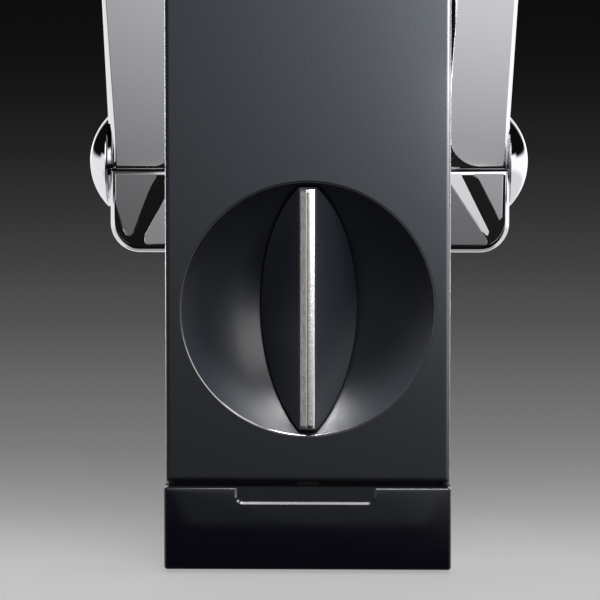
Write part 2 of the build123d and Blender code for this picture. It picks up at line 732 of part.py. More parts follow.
with BuildPart() as cutter_head:
    with BuildSketch(XZ(-0.5)):
        with BuildLine():
            Polyline((-13, 209), (13, 209), (13, 195), (8, 187), (-8, 187), (-13, 195), close=True)
        make_face()
    extrude(amount=4.9)
    fillet(cutter_head.edges().filter_by(Axis.Y), radius=1.5)
    # ears for the magnet arm hinge
    with BuildSketch(YZ(-10.2)):
        with Locations((y(-8.2), MAG_Z)):
            Rectangle(6.0, 8.0)
        with Locations((y(MAG_V), MAG_Z)):
            Circle(4.0)
    extrude(amount=3.0)
    with BuildSketch(YZ(7.2)):
        with Locations((y(-8.2), MAG_Z)):
            Rectangle(6.0, 8.0)
        with Locations((y(MAG_V), MAG_Z)):
            Circle(4.0)
    extrude(amount=3.0)
    with BuildSketch(YZ(-12)):
        with Locations((y(MAG_V), MAG_Z)):
            Circle(1.6)
    extrude(amount=24, mode=Mode.SUBTRACT)
    with BuildSketch(XZ(1)):
        with Locations((0, CUTTER_Z)):
            Circle(2.5)
    extrude(amount=12, mode=Mode.SUBTRACT)
    # mortise for the neck
    with BuildSketch(XZ(1)):
        with Locations((0, 202.5)):
            Rectangle(7.2, 9.0)
    extrude(amount=6.4, mode=Mode.SUBTRACT)
save(cutter_head.part, "cutter_head")

with BuildPart() as cutter_axle:
    with BuildSketch(XZ(-0.6)):
        with Locations((0, CUTTER_Z)):
            Circle(2.5)
    extrude(amount=10.4)
    with BuildSketch(XZ(-9.0)):
        with Locations((0, CUTTER_Z)):
            RegularPolygon(4.0, 6)
    extrude(amount=2.2)
save(cutter_axle.part, "cutter_axle")

with BuildPart() as cutter_wheel:
    with BuildSketch(Plane(origin=(0, YF, CUTTER_Z), x_dir=(1, 0, 0), z_dir=(0, 0, 1))):
        with BuildLine():
            Polyline((2.56, -6.1), (4.4, -6.1), (4.4, -6.8), (CUTTER_R, -6.9), (CUTTER_R, -7.05), (5.2, -8.2),
                     (4.4, -8.2), (4.4, -8.6), (2.56, -8.6), close=True)
        make_face()
    revolve(axis=Axis((0, YF, CUTTER_Z), (0, 1, 0)), revolution_arc=360)
save(cutter_wheel.part, "cutter_wheel")

with BuildPart() as magnet_pin:
    with BuildSketch(YZ(-10.8)):
        with Locations((y(MAG_V), MAG_Z)):
            Circle(1.6)
    extrude(amount=21.6)
save(magnet_pin.part, "magnet_pin")

with BuildPart() as magnet_arm:
    with BuildSketch(YZ(-6.6)):
        with Locations((y(MAG_V), MAG_Z)):
            Circle(3.6)
    extrude(amount=13.2)
    with BuildSketch(Plane.XY.offset(MAG_Z + 0.6)):
        with Locations((0, y(-21.0))):
            Rectangle(9.0, 22.0)
        with Locations((0, y(-31.0))):
            Circle(8.2)
    extrude(amount=2.4)
    with BuildSketch(Plane.XY.offset(190.2)):
        with Locations((0, y(-31.0))):
            Circle(2.6)
    extrude(amount=15.0)
    with BuildSketch(Plane.XY.offset(188.8)):
        with Locations((0, y(-31.0))):
            Circle(9.2)
    extrude(amount=2.2)
    with BuildSketch(YZ(-12)):
        with Locations((y(MAG_V), MAG_Z)):
            Circle(1.66)
    extrude(amount=24, mode=Mode.SUBTRACT)
save(magnet_arm.part, "magnet_arm")

with BuildPart() as lid_magnet:
    with BuildSketch(Plane.XY.offset(185.4)):
        with Locations((0, y(-31.0))):
            Circle(8.0)
    extrude(amount=3.4)
    chamfer(lid_magnet.faces().sort_by(Axis.Z)[0].edges(), length=0.6)
save(lid_magnet.part, "lid_magnet")

with BuildPart() as can_guide_pins:
    with BuildSketch(XZ(WALL)):
        with Locations((-18.0, 175.0), (18.0, 175.0)):
            Circle(2.0)
    extrude(amount=7.6)
    fillet(can_guide_pins.faces().sort_by(Axis.Y)[:2].edges(), radius=0.8)
save(can_guide_pins.part, "can_guide_pins")

# ================================================================ gearbox
DRIVE_TO_S2 = angle_to(S2, DRIVE)
S2_FROM_S1 = angle_to(S1, S2)
S1_FROM_M = angle_to(MOTOR, S1)


def gear_body(centre, depth, width, teeth, module, tooth_at, bore, hub_r=None, holes=None):
    with BuildPart() as g:
        with BuildSketch(XZ(depth)):
            with Locations(centre):
                Polygon(*gear_points(teeth, module, tooth_at), align=None)
        extrude(amount=-width)
        if holes:
            with BuildSketch(XZ(depth - 1)):
                with Locations(centre):
                    with PolarLocations(holes[0], holes[1]):
                        Circle(holes[2])
            extrude(amount=-(width + 2), mode=Mode.SUBTRACT)
        with BuildSketch(XZ(depth - 1)):
            with Locations(centre):
                Circle(bore)
        extrude(amount=-(width + 2), mode=Mode.SUBTRACT)
    return g.part


def rod(centre, radius, v0, v1, steps=()):
    with BuildPart() as r:
        with BuildSketch(XZ(v0)):
            with Locations(centre):
                Circle(radius)
        extrude(amount=-(v1 - v0))
        for rad, a, b in steps:
            with BuildSketch(XZ(a)):
                with Locations(centre):
                    Circle(rad)
            extrude(amount=-(b - a))
    return r.part


save(gear_body(DRIVE, L3, 5.0, T_BIG, M_A, DRIVE_TO_S2 + 180 + 180 / T_BIG, 4.0, holes=(10.5, 6, 3.2)), "drive_gear")
save(gear_body(S2, L3, 5.0, T_PINION, M_A, DRIVE_TO_S2, 2.0), "second_pinion")
save(gear_body(S2, L2, 4.0, T_BIG, M_A, S2_FROM_S1 + 180 + 180 / T_BIG, 2.0, holes=(10.0, 6, 3.4)), "second_gear")
save(gear_body(S1, L2, 4.0, T_PINION, M_A, S2_FROM_S1, 2.0), "first_pinion")
save(gear_body(S1, L1, 4.0, T_FIRST, M_B, S1_FROM_M + 180 + 180 / T_FIRST, 2.0, holes=(10.0, 6, 3.2)), "first_gear")
save(gear_body(MOTOR, L1, 4.0, T_PINION, M_B, S1_FROM_M, 1.6), "motor_pinion")
save(gear_body(DRIVE, -5.9, 2.6, 30, 0.52, 0.0, 4.0), "feed_wheel")

with BuildPart() as drive_shaft:
    with BuildSketch(XZ(-5.9)):
        with Locations(DRIVE):
            Circle(4.0)
    extrude(amount=-28.9)
    with BuildSketch(XZ(23.0)):
        with Locations(DRIVE):
            Circle(3.0)
    extrude(amount=-4.0)
    with BuildSketch(XZ(-5.9)):
        with Locations(DRIVE):
            Circle(2.5)
    extrude(amount=2.6)
    # nut that holds the feed wheel
    with BuildSketch(XZ(-5.9)):
        with Locations(DRIVE):
            RegularPolygon(4.6, 6)
    extrude(amount=2.0)
save(drive_shaft.part, "drive_shaft")
save(rod(S2, 2.0, 5.2, 25.8), "second_shaft")
save(rod(S1, 2.0, 5.2, 25.8), "first_shaft")
save(rod(MOTOR, 1.6, 18.6, 66.6), "motor_shaft")

with BuildPart() as drive_bush:
    with BuildSketch(XZ(-1.4)):
        with Locations(DRIVE):
            Circle(8.4)
    extrude(amount=-1.4)
    with BuildSketch(XZ(0)):
        with Locations(DRIVE):
            Circle(6.0)
    extrude(amount=-7.2)
    with BuildSketch(XZ(-3)):
        with Locations(DRIVE):
            Circle(4.06)
    extrude(amount=-12, mode=Mode.SUBTRACT)
save(drive_bush.part, "drive_bush")

for v0, name, bores in ((PLATE_A, "front_gear_plate", ((DRIVE, 6.0), (S2, 2.06), (S1, 2.06))),
                        (PLATE_B, "rear_gear_plate", ((DRIVE, 3.06), (S2, 2.06), (S1, 2.06), (MOTOR, 6.2)))):
    with BuildPart() as plate:
        with BuildSketch(XZ(v0)):
            with Locations((0, 149.0)):
                RectangleRounded(58.0, 80.0, 4.0)
        extrude(amount=-2.0)
        for centre, r in bores:
            with BuildSketch(XZ(v0 - 1)):
                with Locations(centre):
                    Circle(r)
            extrude(amount=-4.0, mode=Mode.SUBTRACT)
        with BuildSketch(XZ(v0 - 1)):
            with Locations(*PLATE_POSTS):
                Circle(1.5)
        extrude(amount=-4.0, mode=Mode.SUBTRACT)
    save(plate.part, name)

with BuildPart() as plate_spacers:
    with BuildSketch(XZ(PLATE_A + 2.0)):
        with Locations(*PLATE_POSTS):
            Circle(3.0)
    extrude(amount=-(PLATE_B - PLATE_A - 2.0))
    with BuildSketch(XZ(PLATE_A)):
        with Locations(*PLATE_POSTS):
            Circle(1.5)
    extrude(amount=-(PLATE_B - PLATE_A + 2.0))
    with BuildSketch(XZ(PLATE_B + 2.0)):
        with Locations(*PLATE_POSTS):
            RegularPolygon(2.9, 6)
    extrude(amount=-2.0)
save(plate_spacers.part, "plate_spacers")

# ================================================================ motor
with BuildPart() as motor_can:
    with BuildSketch(XZ(26.0)):
        with Locations(MOTOR):
            Circle(17.0)
    extrude(amount=-32.0)
    with BuildSketch(XZ(27.4)):
        with Locations(MOTOR):
            Circle(15.6)
    extrude(amount=-31.0, mode=Mode.SUBTRACT)
    with BuildSketch(XZ(24.0)):
        with Locations(MOTOR):
            Circle(6.2)
    extrude(amount=-2.4)
    with BuildSketch(XZ(23.0)):
        with Locations(MOTOR):
            Circle(1.66)
    extrude(amount=-6, mode=Mode.SUBTRACT)
save(motor_can.part, "motor_can")

with BuildPart() as motor_end_cap:
    with BuildSketch(XZ(58.0)):
        with Locations(MOTOR):
            Circle(17.0)
    extrude(amount=-2.0)
    with BuildSketch(XZ(56.0)):
        with Locations(MOTOR):
            Circle(15.6)
            Circle(13.0, mode=Mode.SUBTRACT)
    extrude(amount=-2.0)
    with BuildSketch(XZ(50)):
        with Locations(MOTOR):
            Circle(1.66)
    extrude(amount=-12, mode=Mode.SUBTRACT)
save(motor_end_cap.part, "motor_end_cap")

with BuildPart() as motor_magnets:
    with BuildSketch(XZ(30.0)):
        with Locations(MOTOR):
            Circle(15.6)
            Circle(13.0, mode=Mode.SUBTRACT)
            Rectangle(8.0, 40.0, mode=Mode.SUBTRACT)
    extrude(amount=-22.0)
save(motor_magnets.part, "motor_magnets")

with BuildPart() as motor_rotor:
    with BuildSketch(XZ(31.0)):
        with Locations(MOTOR):
            Circle(12.2)
            with PolarLocations(10.6, 12):
                Rectangle(4.4, 1.6, mode=Mode.SUBTRACT)
            Circle(1.6, mode=Mode.SUBTRACT)
    extrude(amount=-20.0)
    with BuildSketch(XZ(51.0)):
        with Locations(MOTOR):
            Circle(4.5)
            Circle(1.6, mode=Mode.SUBTRACT)
    extrude(amount=-5.0)
save(motor_rotor.part, "motor_rotor")

with BuildPart() as cooling_fan:
    with BuildSketch(XZ(61.0)):
        with Locations(MOTOR):
            Circle(14.5)
            Circle(1.6, mode=Mode.SUBTRACT)
    extrude(amount=-1.2)
    with BuildSketch(XZ(62.0)):
        with Locations(MOTOR):
            Circle(4.0)
            with PolarLocations(9.0, 9):
                Rectangle(11.0, 1.2, rotation=18)
            Circle(1.6, mode=Mode.SUBTRACT)
    extrude(amount=-5.0)
save(cooling_fan.part, "cooling_fan")

# ================================================================ control board
with BuildPart() as control_board:
    with BuildSketch(XZ(54.4)):
        with Locations((0, 62.0)):
            Rectangle(48.0, 38.0)
    extrude(amount=-1.6)
    with BuildSketch(XZ(54.4)):
        with Locations((-13.0, 70.0)):
            Rectangle(14.0, 11.0)
    extrude(amount=9.0)
    with BuildSketch(XZ(54.4)):
        with Locations((3.0, 62.0)):
            Circle(5.0)
    extrude(amount=10.0)
    with BuildSketch(XZ(54.4)):
        with Locations((8.0, 48.5)):
            Rectangle(20.0, 6.0)
    extrude(amount=6.0)
save(control_board.part, "control_board")
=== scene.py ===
"""Studio scene of an upright electric can opener: satin black tower, round dish with a wedge grip,
black drawer front and a chrome lever yoke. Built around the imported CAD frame; metres, +Z up."""
import json
import math

import bmesh
import bpy
from mathutils import Matrix, Vector


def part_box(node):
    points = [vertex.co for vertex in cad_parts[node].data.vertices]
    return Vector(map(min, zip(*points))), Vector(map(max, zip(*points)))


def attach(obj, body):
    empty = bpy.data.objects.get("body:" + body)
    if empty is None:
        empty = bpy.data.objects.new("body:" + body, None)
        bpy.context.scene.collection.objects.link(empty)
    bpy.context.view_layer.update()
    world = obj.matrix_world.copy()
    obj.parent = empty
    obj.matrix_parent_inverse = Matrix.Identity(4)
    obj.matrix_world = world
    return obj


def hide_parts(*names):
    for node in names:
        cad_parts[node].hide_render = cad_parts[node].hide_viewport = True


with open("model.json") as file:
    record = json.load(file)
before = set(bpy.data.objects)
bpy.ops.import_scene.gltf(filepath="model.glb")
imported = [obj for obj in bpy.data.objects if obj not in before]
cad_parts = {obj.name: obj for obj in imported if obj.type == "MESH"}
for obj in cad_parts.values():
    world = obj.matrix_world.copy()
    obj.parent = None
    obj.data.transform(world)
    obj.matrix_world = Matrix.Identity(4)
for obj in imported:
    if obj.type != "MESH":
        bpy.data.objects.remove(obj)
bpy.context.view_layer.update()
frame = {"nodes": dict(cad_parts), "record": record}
nodes = frame["nodes"]
MM = 0.001


# ------------------------------------------------------------------ places taken from the frame
lo_fc, hi_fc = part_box("front_cover")
YF = lo_fc[1]                                    # tower's front face
TX = hi_fc[0]                                    # half width of the tower
TZ0, TZ1 = lo_fc[2], hi_fc[2]
lo_d, hi_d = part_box("control_dish")
DZ = (lo_d[2] + hi_d[2]) / 2                     # centre height of the dish
lo_t, hi_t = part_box("tray_front")
lo_rb, hi_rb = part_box("right_bracket")
lo_cap, hi_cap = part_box("right_pivot_cap")
PY = (lo_cap[1] + hi_cap[1]) / 2                 # lever pivot
PZ = (lo_cap[2] + hi_cap[2]) / 2
lo_arm, hi_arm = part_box("right_arm")

# dish geometry, as in the CAD: a sphere that meets the face at the rim
RIM = 28.5 * MM
DEPTH = 17.0 * MM
RS = (RIM ** 2 + DEPTH ** 2) / (2 * DEPTH)
YC = YF + DEPTH - RS                             # sphere centre


# ------------------------------------------------------------------ materials
def new_mat(name):
    m = bpy.data.materials.new(name)
    m.use_nodes = True
    nt = m.node_tree
    for n in list(nt.nodes):
        nt.nodes.remove(n)
    out = nt.nodes.new("ShaderNodeOutputMaterial")
    b = nt.nodes.new("ShaderNodeBsdfPrincipled")
    nt.links.new(b.outputs[0], out.inputs[0])
    return m, nt, b


def noise_bump(nt, b, scale, strength, distance, detail=2.0):
    tc = nt.nodes.new("ShaderNodeTexCoord")
    ns = nt.nodes.new("ShaderNodeTexNoise")
    ns.inputs["Scale"].default_value = scale
    ns.inputs["Detail"].default_value = detail
    bp = nt.nodes.new("ShaderNodeBump")
    bp.inputs["Strength"].default_value = strength
    bp.inputs["Distance"].default_value = distance
    nt.links.new(tc.outputs["Object"], ns.inputs["Vector"])
    nt.links.new(ns.outputs["Fac"], bp.inputs["Height"])
    nt.links.new(bp.outputs["Normal"], b.inputs["Normal"])
    return tc, ns, bp


def plain(name, color, rough, metal=0.0, spec=0.5, bump=None, coat=0.0, coat_rough=0.1, aniso=0.0, vary=None):
    """vary = (low, high, scale): roughness varies over the surface by noise."""
    m, nt, b = new_mat(name)
    b.inputs["Base Color"].default_value = (*color, 1)
    b.inputs["Roughness"].default_value = rough
    b.inputs["Metallic"].default_value = metal
    b.inputs["Specular IOR Level"].default_value = spec
    if coat:
        b.inputs["Coat Weight"].default_value = coat
        b.inputs["Coat Roughness"].default_value = coat_rough
    if aniso:
        b.inputs["Anisotropic"].default_value = aniso
    if bump:
        noise_bump(nt, b, *bump)
    if vary:
        tc = nt.nodes.new("ShaderNodeTexCoord")
        ns = nt.nodes.new("ShaderNodeTexNoise")
        ns.inputs["Scale"].default_value = vary[2]
        mr = nt.nodes.new("ShaderNodeMapRange")
        mr.inputs["To Min"].default_value = vary[0]
        mr.inputs["To Max"].default_value = vary[1]
        nt.links.new(tc.outputs["Object"], ns.inputs["Vector"])
        nt.links.new(ns.outputs["Fac"], mr.inputs["Value"])
        nt.links.new(mr.outputs["Result"], b.inputs["Roughness"])
    return m


def brushed(name, color, rough, spec=0.5):
    """Satin plastic or metal with fine lines along Z."""
    m, nt, b = new_mat(name)
    tc = nt.nodes.new("ShaderNodeTexCoord")
    mp = nt.nodes.new("ShaderNodeMapping")
    mp.inputs["Scale"].default_value = (4200.0, 300.0, 60.0)
    ns = nt.nodes.new("ShaderNodeTexNoise")
    ns.inputs["Scale"].default_value = 1.0
    ns.inputs["Detail"].default_value = 3.0
    nt.links.new(tc.outputs["Object"], mp.inputs["Vector"])
    nt.links.new(mp.outputs["Vector"], ns.inputs["Vector"])
    mr = nt.nodes.new("ShaderNodeMapRange")
    mr.inputs["To Min"].default_value = rough[0]
    mr.inputs["To Max"].default_value = rough[1]
    nt.links.new(ns.outputs["Fac"], mr.inputs["Value"])
    nt.links.new(mr.outputs["Result"], b.inputs["Roughness"])
    mix = nt.nodes.new("ShaderNodeMix")
    mix.data_type = "RGBA"
    mix.inputs["A"].default_value = (*[c * 0.65 for c in color], 1)
    mix.inputs["B"].default_value = (*[c * 1.45 for c in color], 1)
    nt.links.new(ns.outputs["Fac"], mix.inputs["Factor"])
    nt.links.new(mix.outputs["Result"], b.inputs["Base Color"])
    bp = nt.nodes.new("ShaderNodeBump")
    bp.inputs["Strength"].default_value = 0.12
    bp.inputs["Distance"].default_value = 0.0001
    nt.links.new(ns.outputs["Fac"], bp.inputs["Height"])
    nt.links.new(bp.outputs["Normal"], b.inputs["Normal"])
    b.inputs["Specular IOR Level"].default_value = spec
    return m


def tray_mat():
    """Drawer front: painted reflection and shade, a soft grey upper zone painted over a deep gloss black lower one, the
    change following the moulding's height.
    """
    m, nt, b = new_mat("tray_black")
    tc = nt.nodes.new("ShaderNodeTexCoord")
    sp = nt.nodes.new("ShaderNodeSeparateXYZ")
    nt.links.new(tc.outputs["Object"], sp.inputs[0])

    def ramp(sock, a, b_):
        n = nt.nodes.new("ShaderNodeMapRange")
        n.interpolation_type = "SMOOTHSTEP"
        n.inputs["From Min"].default_value = a
        n.inputs["From Max"].default_value = b_
        nt.links.new(sock, n.inputs["Value"])
        return n.outputs["Result"]

    def mul(a, b_):
        n = nt.nodes.new("ShaderNodeMath")
        n.operation = "MULTIPLY"
        nt.links.new(a, n.inputs[0])
        nt.links.new(b_, n.inputs[1])
        return n.outputs[0]

    ax = nt.nodes.new("ShaderNodeMath")
    ax.operation = "ABSOLUTE"
    nt.links.new(sp.outputs["X"], ax.inputs[0])
    lean = nt.nodes.new("ShaderNodeMath")              # the painted reflection zone narrows downwards
    lean.operation = "MULTIPLY_ADD"
    nt.links.new(sp.outputs["Z"], lean.inputs[0])
    lean.inputs[1].default_value = -0.45
    nt.links.new(ax.outputs[0], lean.inputs[2])
    # painted reflection: the lighter upper zone stands in for the softbox mirrored in the top of the front, the black
    # below for its shade
    painted_reflection_zone = mul(ramp(sp.outputs["Z"], 0.0095, 0.0128), ramp(lean.outputs[0], 0.0240, 0.0196))
    mix = nt.nodes.new("ShaderNodeMix")
    mix.data_type = "RGBA"
    # A is the painted shade of the lower zone, B the painted grey sheen of the upper zone
    mix.inputs["A"].default_value = (0.0013, 0.0014, 0.0054, 1)
    mix.inputs["B"].default_value = (0.0092, 0.0112, 0.0150, 1)
    nt.links.new(painted_reflection_zone, mix.inputs["Factor"])
    nt.links.new(mix.outputs["Result"], b.inputs["Base Color"])
    ns = nt.nodes.new("ShaderNodeTexNoise")
    ns.inputs["Scale"].default_value = 220.0
    mr = nt.nodes.new("ShaderNodeMapRange")
    mr.inputs["To Min"].default_value = 0.20
    mr.inputs["To Max"].default_value = 0.26
    nt.links.new(tc.outputs["Object"], ns.inputs["Vector"])
    nt.links.new(ns.outputs["Fac"], mr.inputs["Value"])
    nt.links.new(mr.outputs["Result"], b.inputs["Roughness"])
    b.inputs["Specular IOR Level"].default_value = 0.5
    return m


M = {
    "housing": plain("satin_black", (0.0070, 0.0082, 0.0102), 0.44, spec=0.22, bump=(1500.0, 0.10, 0.0002)),
    "dish": plain("dish_black", (0.0018, 0.0027, 0.0048), 0.37, spec=0.5, bump=(1700.0, 0.05, 0.0002)),
    "knob": brushed("knob_black", (0.0115, 0.0108, 0.0108), (0.26, 0.40)),
    "tray": tray_mat(),
    "chrome": plain("chrome", (0.88, 0.885, 0.90), 0.035, metal=1.0, vary=(0.025, 0.045, 140.0)),
    # painted shade: a darker copy of the chrome, standing in for a dimmer reflection on some bracket facets
    "chrome_painted_dark": plain("chrome_painted_dark", (0.60, 0.605, 0.62), 0.04, metal=1.0, vary=(0.03, 0.05, 140.0)),
    "strip": plain("polished_strip", (0.86, 0.85, 0.83), 0.20, metal=1.0, bump=(900.0, 0.12, 0.0002)),
    "steel": plain("machined_steel", (0.60, 0.60, 0.61), 0.28, metal=1.0, vary=(0.2, 0.36, 300.0)),
    "motor_steel": plain("motor_steel", (0.48, 0.48, 0.50), 0.35, metal=1.0, vary=(0.28, 0.42, 200.0)),
    "ferrite": plain("ferrite", (0.06, 0.06, 0.065), 0.6, vary=(0.5, 0.7, 300.0)),
    "brass": plain("brass", (0.72, 0.53, 0.24), 0.25, metal=1.0, vary=(0.2, 0.32, 250.0)),
    "nylon": plain("nylon", (0.74, 0.72, 0.66), 0.42, vary=(0.36, 0.5, 200.0)),
    "inner": plain("inner_black", (0.03, 0.03, 0.032), 0.5, vary=(0.45, 0.58, 300.0)),
    "board": plain("board_green", (0.02, 0.13, 0.06), 0.4, vary=(0.32, 0.5, 500.0)),
    "rubber": plain("rubber_black", (0.018, 0.018, 0.019), 0.62, bump=(900.0, 0.2, 0.0003)),
    # painted shade: dark gloss plates laid on the chrome where the bracket and arm show dark reflection and shade
    "recess": plain("dark_recess", (0.006, 0.0045, 0.0045), 0.12, spec=0.35, vary=(0.09, 0.16, 200.0)),
    "lip": plain("dish_lip_gloss", (0.008, 0.008, 0.009), 0.15, spec=0.6, vary=(0.12, 0.18, 260.0)),
    "dull": plain("dull_steel", (0.035, 0.035, 0.036), 0.5, metal=1.0, vary=(0.4, 0.6, 300.0)),
    "pan": plain("pan_grey", (0.10, 0.10, 0.105), 0.5, bump=(800.0, 0.1, 0.0003)),
}

SLOT_MATS = {
    "housing_black": "housing", "dish_black": "dish", "tray_black": "tray", "pan_grey": "pan",
    "chrome_trim": "chrome", "strip_metal": "strip", "steel": "steel", "motor_steel": "motor_steel",
    "magnet_ferrite": "ferrite", "brass": "brass", "gear_nylon": "nylon", "inner_black": "inner",
    "board_green": "board", "rubber": "rubber",
}
slot_of = {s["node"]: s["material_slot"] for s in frame["record"]["subparts"]}
for name, obj in nodes.items():
    obj.data.materials.clear()
    obj.data.materials.append(M["dull" if name in ("base_screws", "tray_catch") else SLOT_MATS[slot_of[name]]])


# ------------------------------------------------------------------ mesh helpers
def link(name, bm, mat, body, replaced, smooth_angle=35.0, bevel=None):
    me = bpy.data.meshes.new(name)
    bmesh.ops.recalc_face_normals(bm, faces=bm.faces)
    bm.to_mesh(me)
    bm.free()
    ob = bpy.data.objects.new(name, me)
    bpy.context.scene.collection.objects.link(ob)
    me.materials.append(M[mat])
    for p in me.polygons:
        p.use_smooth = True
    if bevel:
        mod = ob.modifiers.new("bevel", "BEVEL")
        mod.width = bevel[0]
        mod.segments = bevel[1]
        mod.limit_method = "ANGLE"
        mod.angle_limit = math.radians(bevel[2] if len(bevel) > 2 else 30)
        mod.harden_normals = True
    else:
        bpy.context.view_layer.objects.active = ob
        me.set_sharp_from_angle(angle=math.radians(smooth_angle))
    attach(ob, body)
    if replaced:
        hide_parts(*([replaced] if isinstance(replaced, str) else replaced))
    return ob


def prism_xz(bm, pts, y0, y1):
    """Closed prism of an XZ outline between y0 and y1."""
    a = [bm.verts.new((x, y0, z)) for x, z in pts]
    b = [bm.verts.new((x, y1, z)) for x, z in pts]
    bm.faces.new(a)
    bm.faces.new(list(reversed(b)))
    n = len(pts)
    for i in range(n):
        bm.faces.new((a[i], b[i], b[(i + 1) % n], a[(i + 1) % n]))


def arc(cx, cz, r, a0, a1, n):
    return [(cx + r * math.cos(math.radians(a0 + (a1 - a0) * i / n)),
             cz + r * math.sin(math.radians(a0 + (a1 - a0) * i / n))) for i in range(n + 1)]


# ------------------------------------------------------------------ chrome hinge brackets
def mm(v):
    return v * MM


def yv(v):
    """Y at a depth of v millimetres behind the tower's face."""
    return YF + v * MM


def rounded(pts, radii, n=7, lim=0.48):
    """Outline with rounded corners. pts and radii in millimetres; returns metres."""
    out = []
    k = len(pts)
    for i in range(k):
        p = Vector(pts[i])
        a = (Vector(pts[i - 1]) - p)
        b = (Vector(pts[(i + 1) % k]) - p)
        r = radii[i]
        if r <= 0:
            out.append((p.x * MM, p.y * MM))
            continue
        an, bn = a.normalized(), b.normalized()
        ang = an.angle(bn)
        t = min(r / math.tan(ang / 2), lim * a.length, lim * b.length)
        r = t * math.tan(ang / 2)
        c = p + (an + bn).normalized() * (r / math.sin(ang / 2))
        s0, s1 = p + an * t - c, p + bn * t - c
        a0 = math.atan2(s0.y, s0.x)
        a1 = math.atan2(s1.y, s1.x)
        d = (a1 - a0 + math.pi) % (2 * math.pi) - math.pi
        for j in range(n + 1):
            th = a0 + d * j / n
            out.append(((c.x + r * math.cos(th)) * MM, (c.y + r * math.sin(th)) * MM))
    return out


def pad(name, pts, radii, v_front, v_back, mat, body, edge=0.25, tilt=(0.0, 0.0), pivot=None, mirror=1, crown=0.0):
    """A thin plate on a front face with a rolled edge. tilt = (dv/dx, dv/dz) leans its front face about pivot."""
    out = rounded(pts, radii)
    px, pz = pivot or (sum(q_[0] for q_ in out) / len(out) / MM, sum(q_[1] for q_ in out) / len(out) / MM)
    bm = bmesh.new()
    back = [bm.verts.new((mirror * x, yv(v_back), z)) for x, z in out]
    bm.faces.new(back)
    ext = bmesh.ops.extrude_face_region(bm, geom=bm.faces[:])
    top = [g for g in ext["geom"] if isinstance(g, bmesh.types.BMVert)]
    for v in top:
        v.co.y = yv(v_front) + ((abs(v.co.x) / MM - px) * tilt[0] + (v.co.z / MM - pz) * tilt[1]) * MM
    tf = [f for f in bm.faces if all(v in top for v in f.verts)]
    edges = [e for f in tf for e in f.edges]
    bmesh.ops.bevel(bm, geom=edges, offset=edge * MM, segments=4, profile=0.5, affect="EDGES", clamp_overlap=True)
    ob = link(name, bm, mat, body, None, smooth_angle=50)
    big = max(ob.data.polygons, key=lambda f: f.area * (1.0 if f.normal.y < -0.5 else 0.0))
    big.use_smooth = False
    return ob


def cylinder_x(name, x0, x1, cy, cz, r, n=96):
    bm = bmesh.new()
    a = [bm.verts.new((x0, cy + r * math.cos(2 * math.pi * i / n), cz + r * math.sin(2 * math.pi * i / n))) for i in range(n)]
    b = [bm.verts.new((x1, v.co.y, v.co.z)) for v in a]
    bm.faces.new(a)
    bm.faces.new(list(reversed(b)))
    for i in range(n):
        bm.faces.new((a[i], b[i], b[(i + 1) % n], a[(i + 1) % n]))
    bmesh.ops.recalc_face_normals(bm, faces=bm.faces)
    me = bpy.data.meshes.new(name)
    bm.to_mesh(me)
    bm.free()
    ob = bpy.data.objects.new(name, me)
    bpy.context.scene.collection.objects.link(ob)
    return ob


def boolean(ob, cutter):
    mod = ob.modifiers.new("cut", "BOOLEAN")
    mod.operation = "DIFFERENCE"
    mod.solver = "EXACT"
    mod.object = cutter
    dg = bpy.context.evaluated_depsgraph_get()
    me = bpy.data.meshes.new_from_object(ob.evaluated_get(dg))
    ob.modifiers.clear()
    ob.data = me
    bpy.data.objects.remove(cutter)
    return ob


SIDES = ((-1, "left"), (1, "right"))
BX0, BX1, BZ0, BZ1 = 32.0, hi_rb[0] / MM, lo_rb[2] / MM, hi_rb[2] / MM      # bracket outline
BV0, BV1 = (lo_rb[1] - YF) / MM, (hi_rb[1] - YF) / MM
for s, side in SIDES:
    out = rounded([(BX0, BZ1), (BX0, BZ0), (BX1, BZ0), (BX1, BZ1)], [0, 0, 10.0, 0], n=20)
    bm = bmesh.new()
    prism_xz(bm, [(x, z) for x, z in out], yv(BV0), yv(BV1))
    bmesh.ops.recalc_face_normals(bm, faces=bm.faces)
    bm.edges.ensure_lookup_table()
    front = [e for e in bm.edges if all(abs(v.co.y - yv(BV0)) < 1e-6 for v in e.verts)
             and not all(abs(abs(v.co.x) - mm(BX0)) < 1e-6 for v in e.verts)]
    bmesh.ops.bevel(bm, geom=front, offset=mm(1.35), segments=7, profile=0.5, affect="EDGES", clamp_overlap=True)
    ob = link(f"{side}_bracket_shell", bm, "chrome", "frame", f"{side}_bracket", smooth_angle=40)
    cut = cylinder_x("cut", mm(31), mm(60), PY, PZ, mm(9.4))
    boolean(ob, cut)
    cb = bmesh.new()
    bmesh.ops.create_cube(cb, size=1.0)
    for v in cb.verts:
        v.co = (mm(45.5 + v.co.x * 29), PY + mm(20 + v.co.y * 40), PZ + mm(2.1 + v.co.z * 20))
    bmesh.ops.recalc_face_normals(cb, faces=cb.faces)
    cme = bpy.data.meshes.new("cut2")
    cb.to_mesh(cme)
    cb.free()
    cob = bpy.data.objects.new("cut2", cme)
    bpy.context.scene.collection.objects.link(cob)
    boolean(ob, cob)
    me = ob.data
    for p in me.polygons:
        p.use_smooth = True
    me.set_sharp_from_angle(angle=math.radians(32))
    if s < 0:
        me.transform(Matrix.Scale(-1, 4, (1, 0, 0)))
        me.flip_normals()

    # painted shade: a dark gloss plate inside the rim stands in for the dark reflection and shade there
    pad(f"{side}_bracket_recess", [(32.05, 88.95), (32.05, 72.3), (45.15, 72.3), (45.3, 89.05)], [0, 0, 8.8, 0.2],
        BV0 - 0.12, BV0 + 0.3, "recess", "frame", edge=0.05, mirror=s)
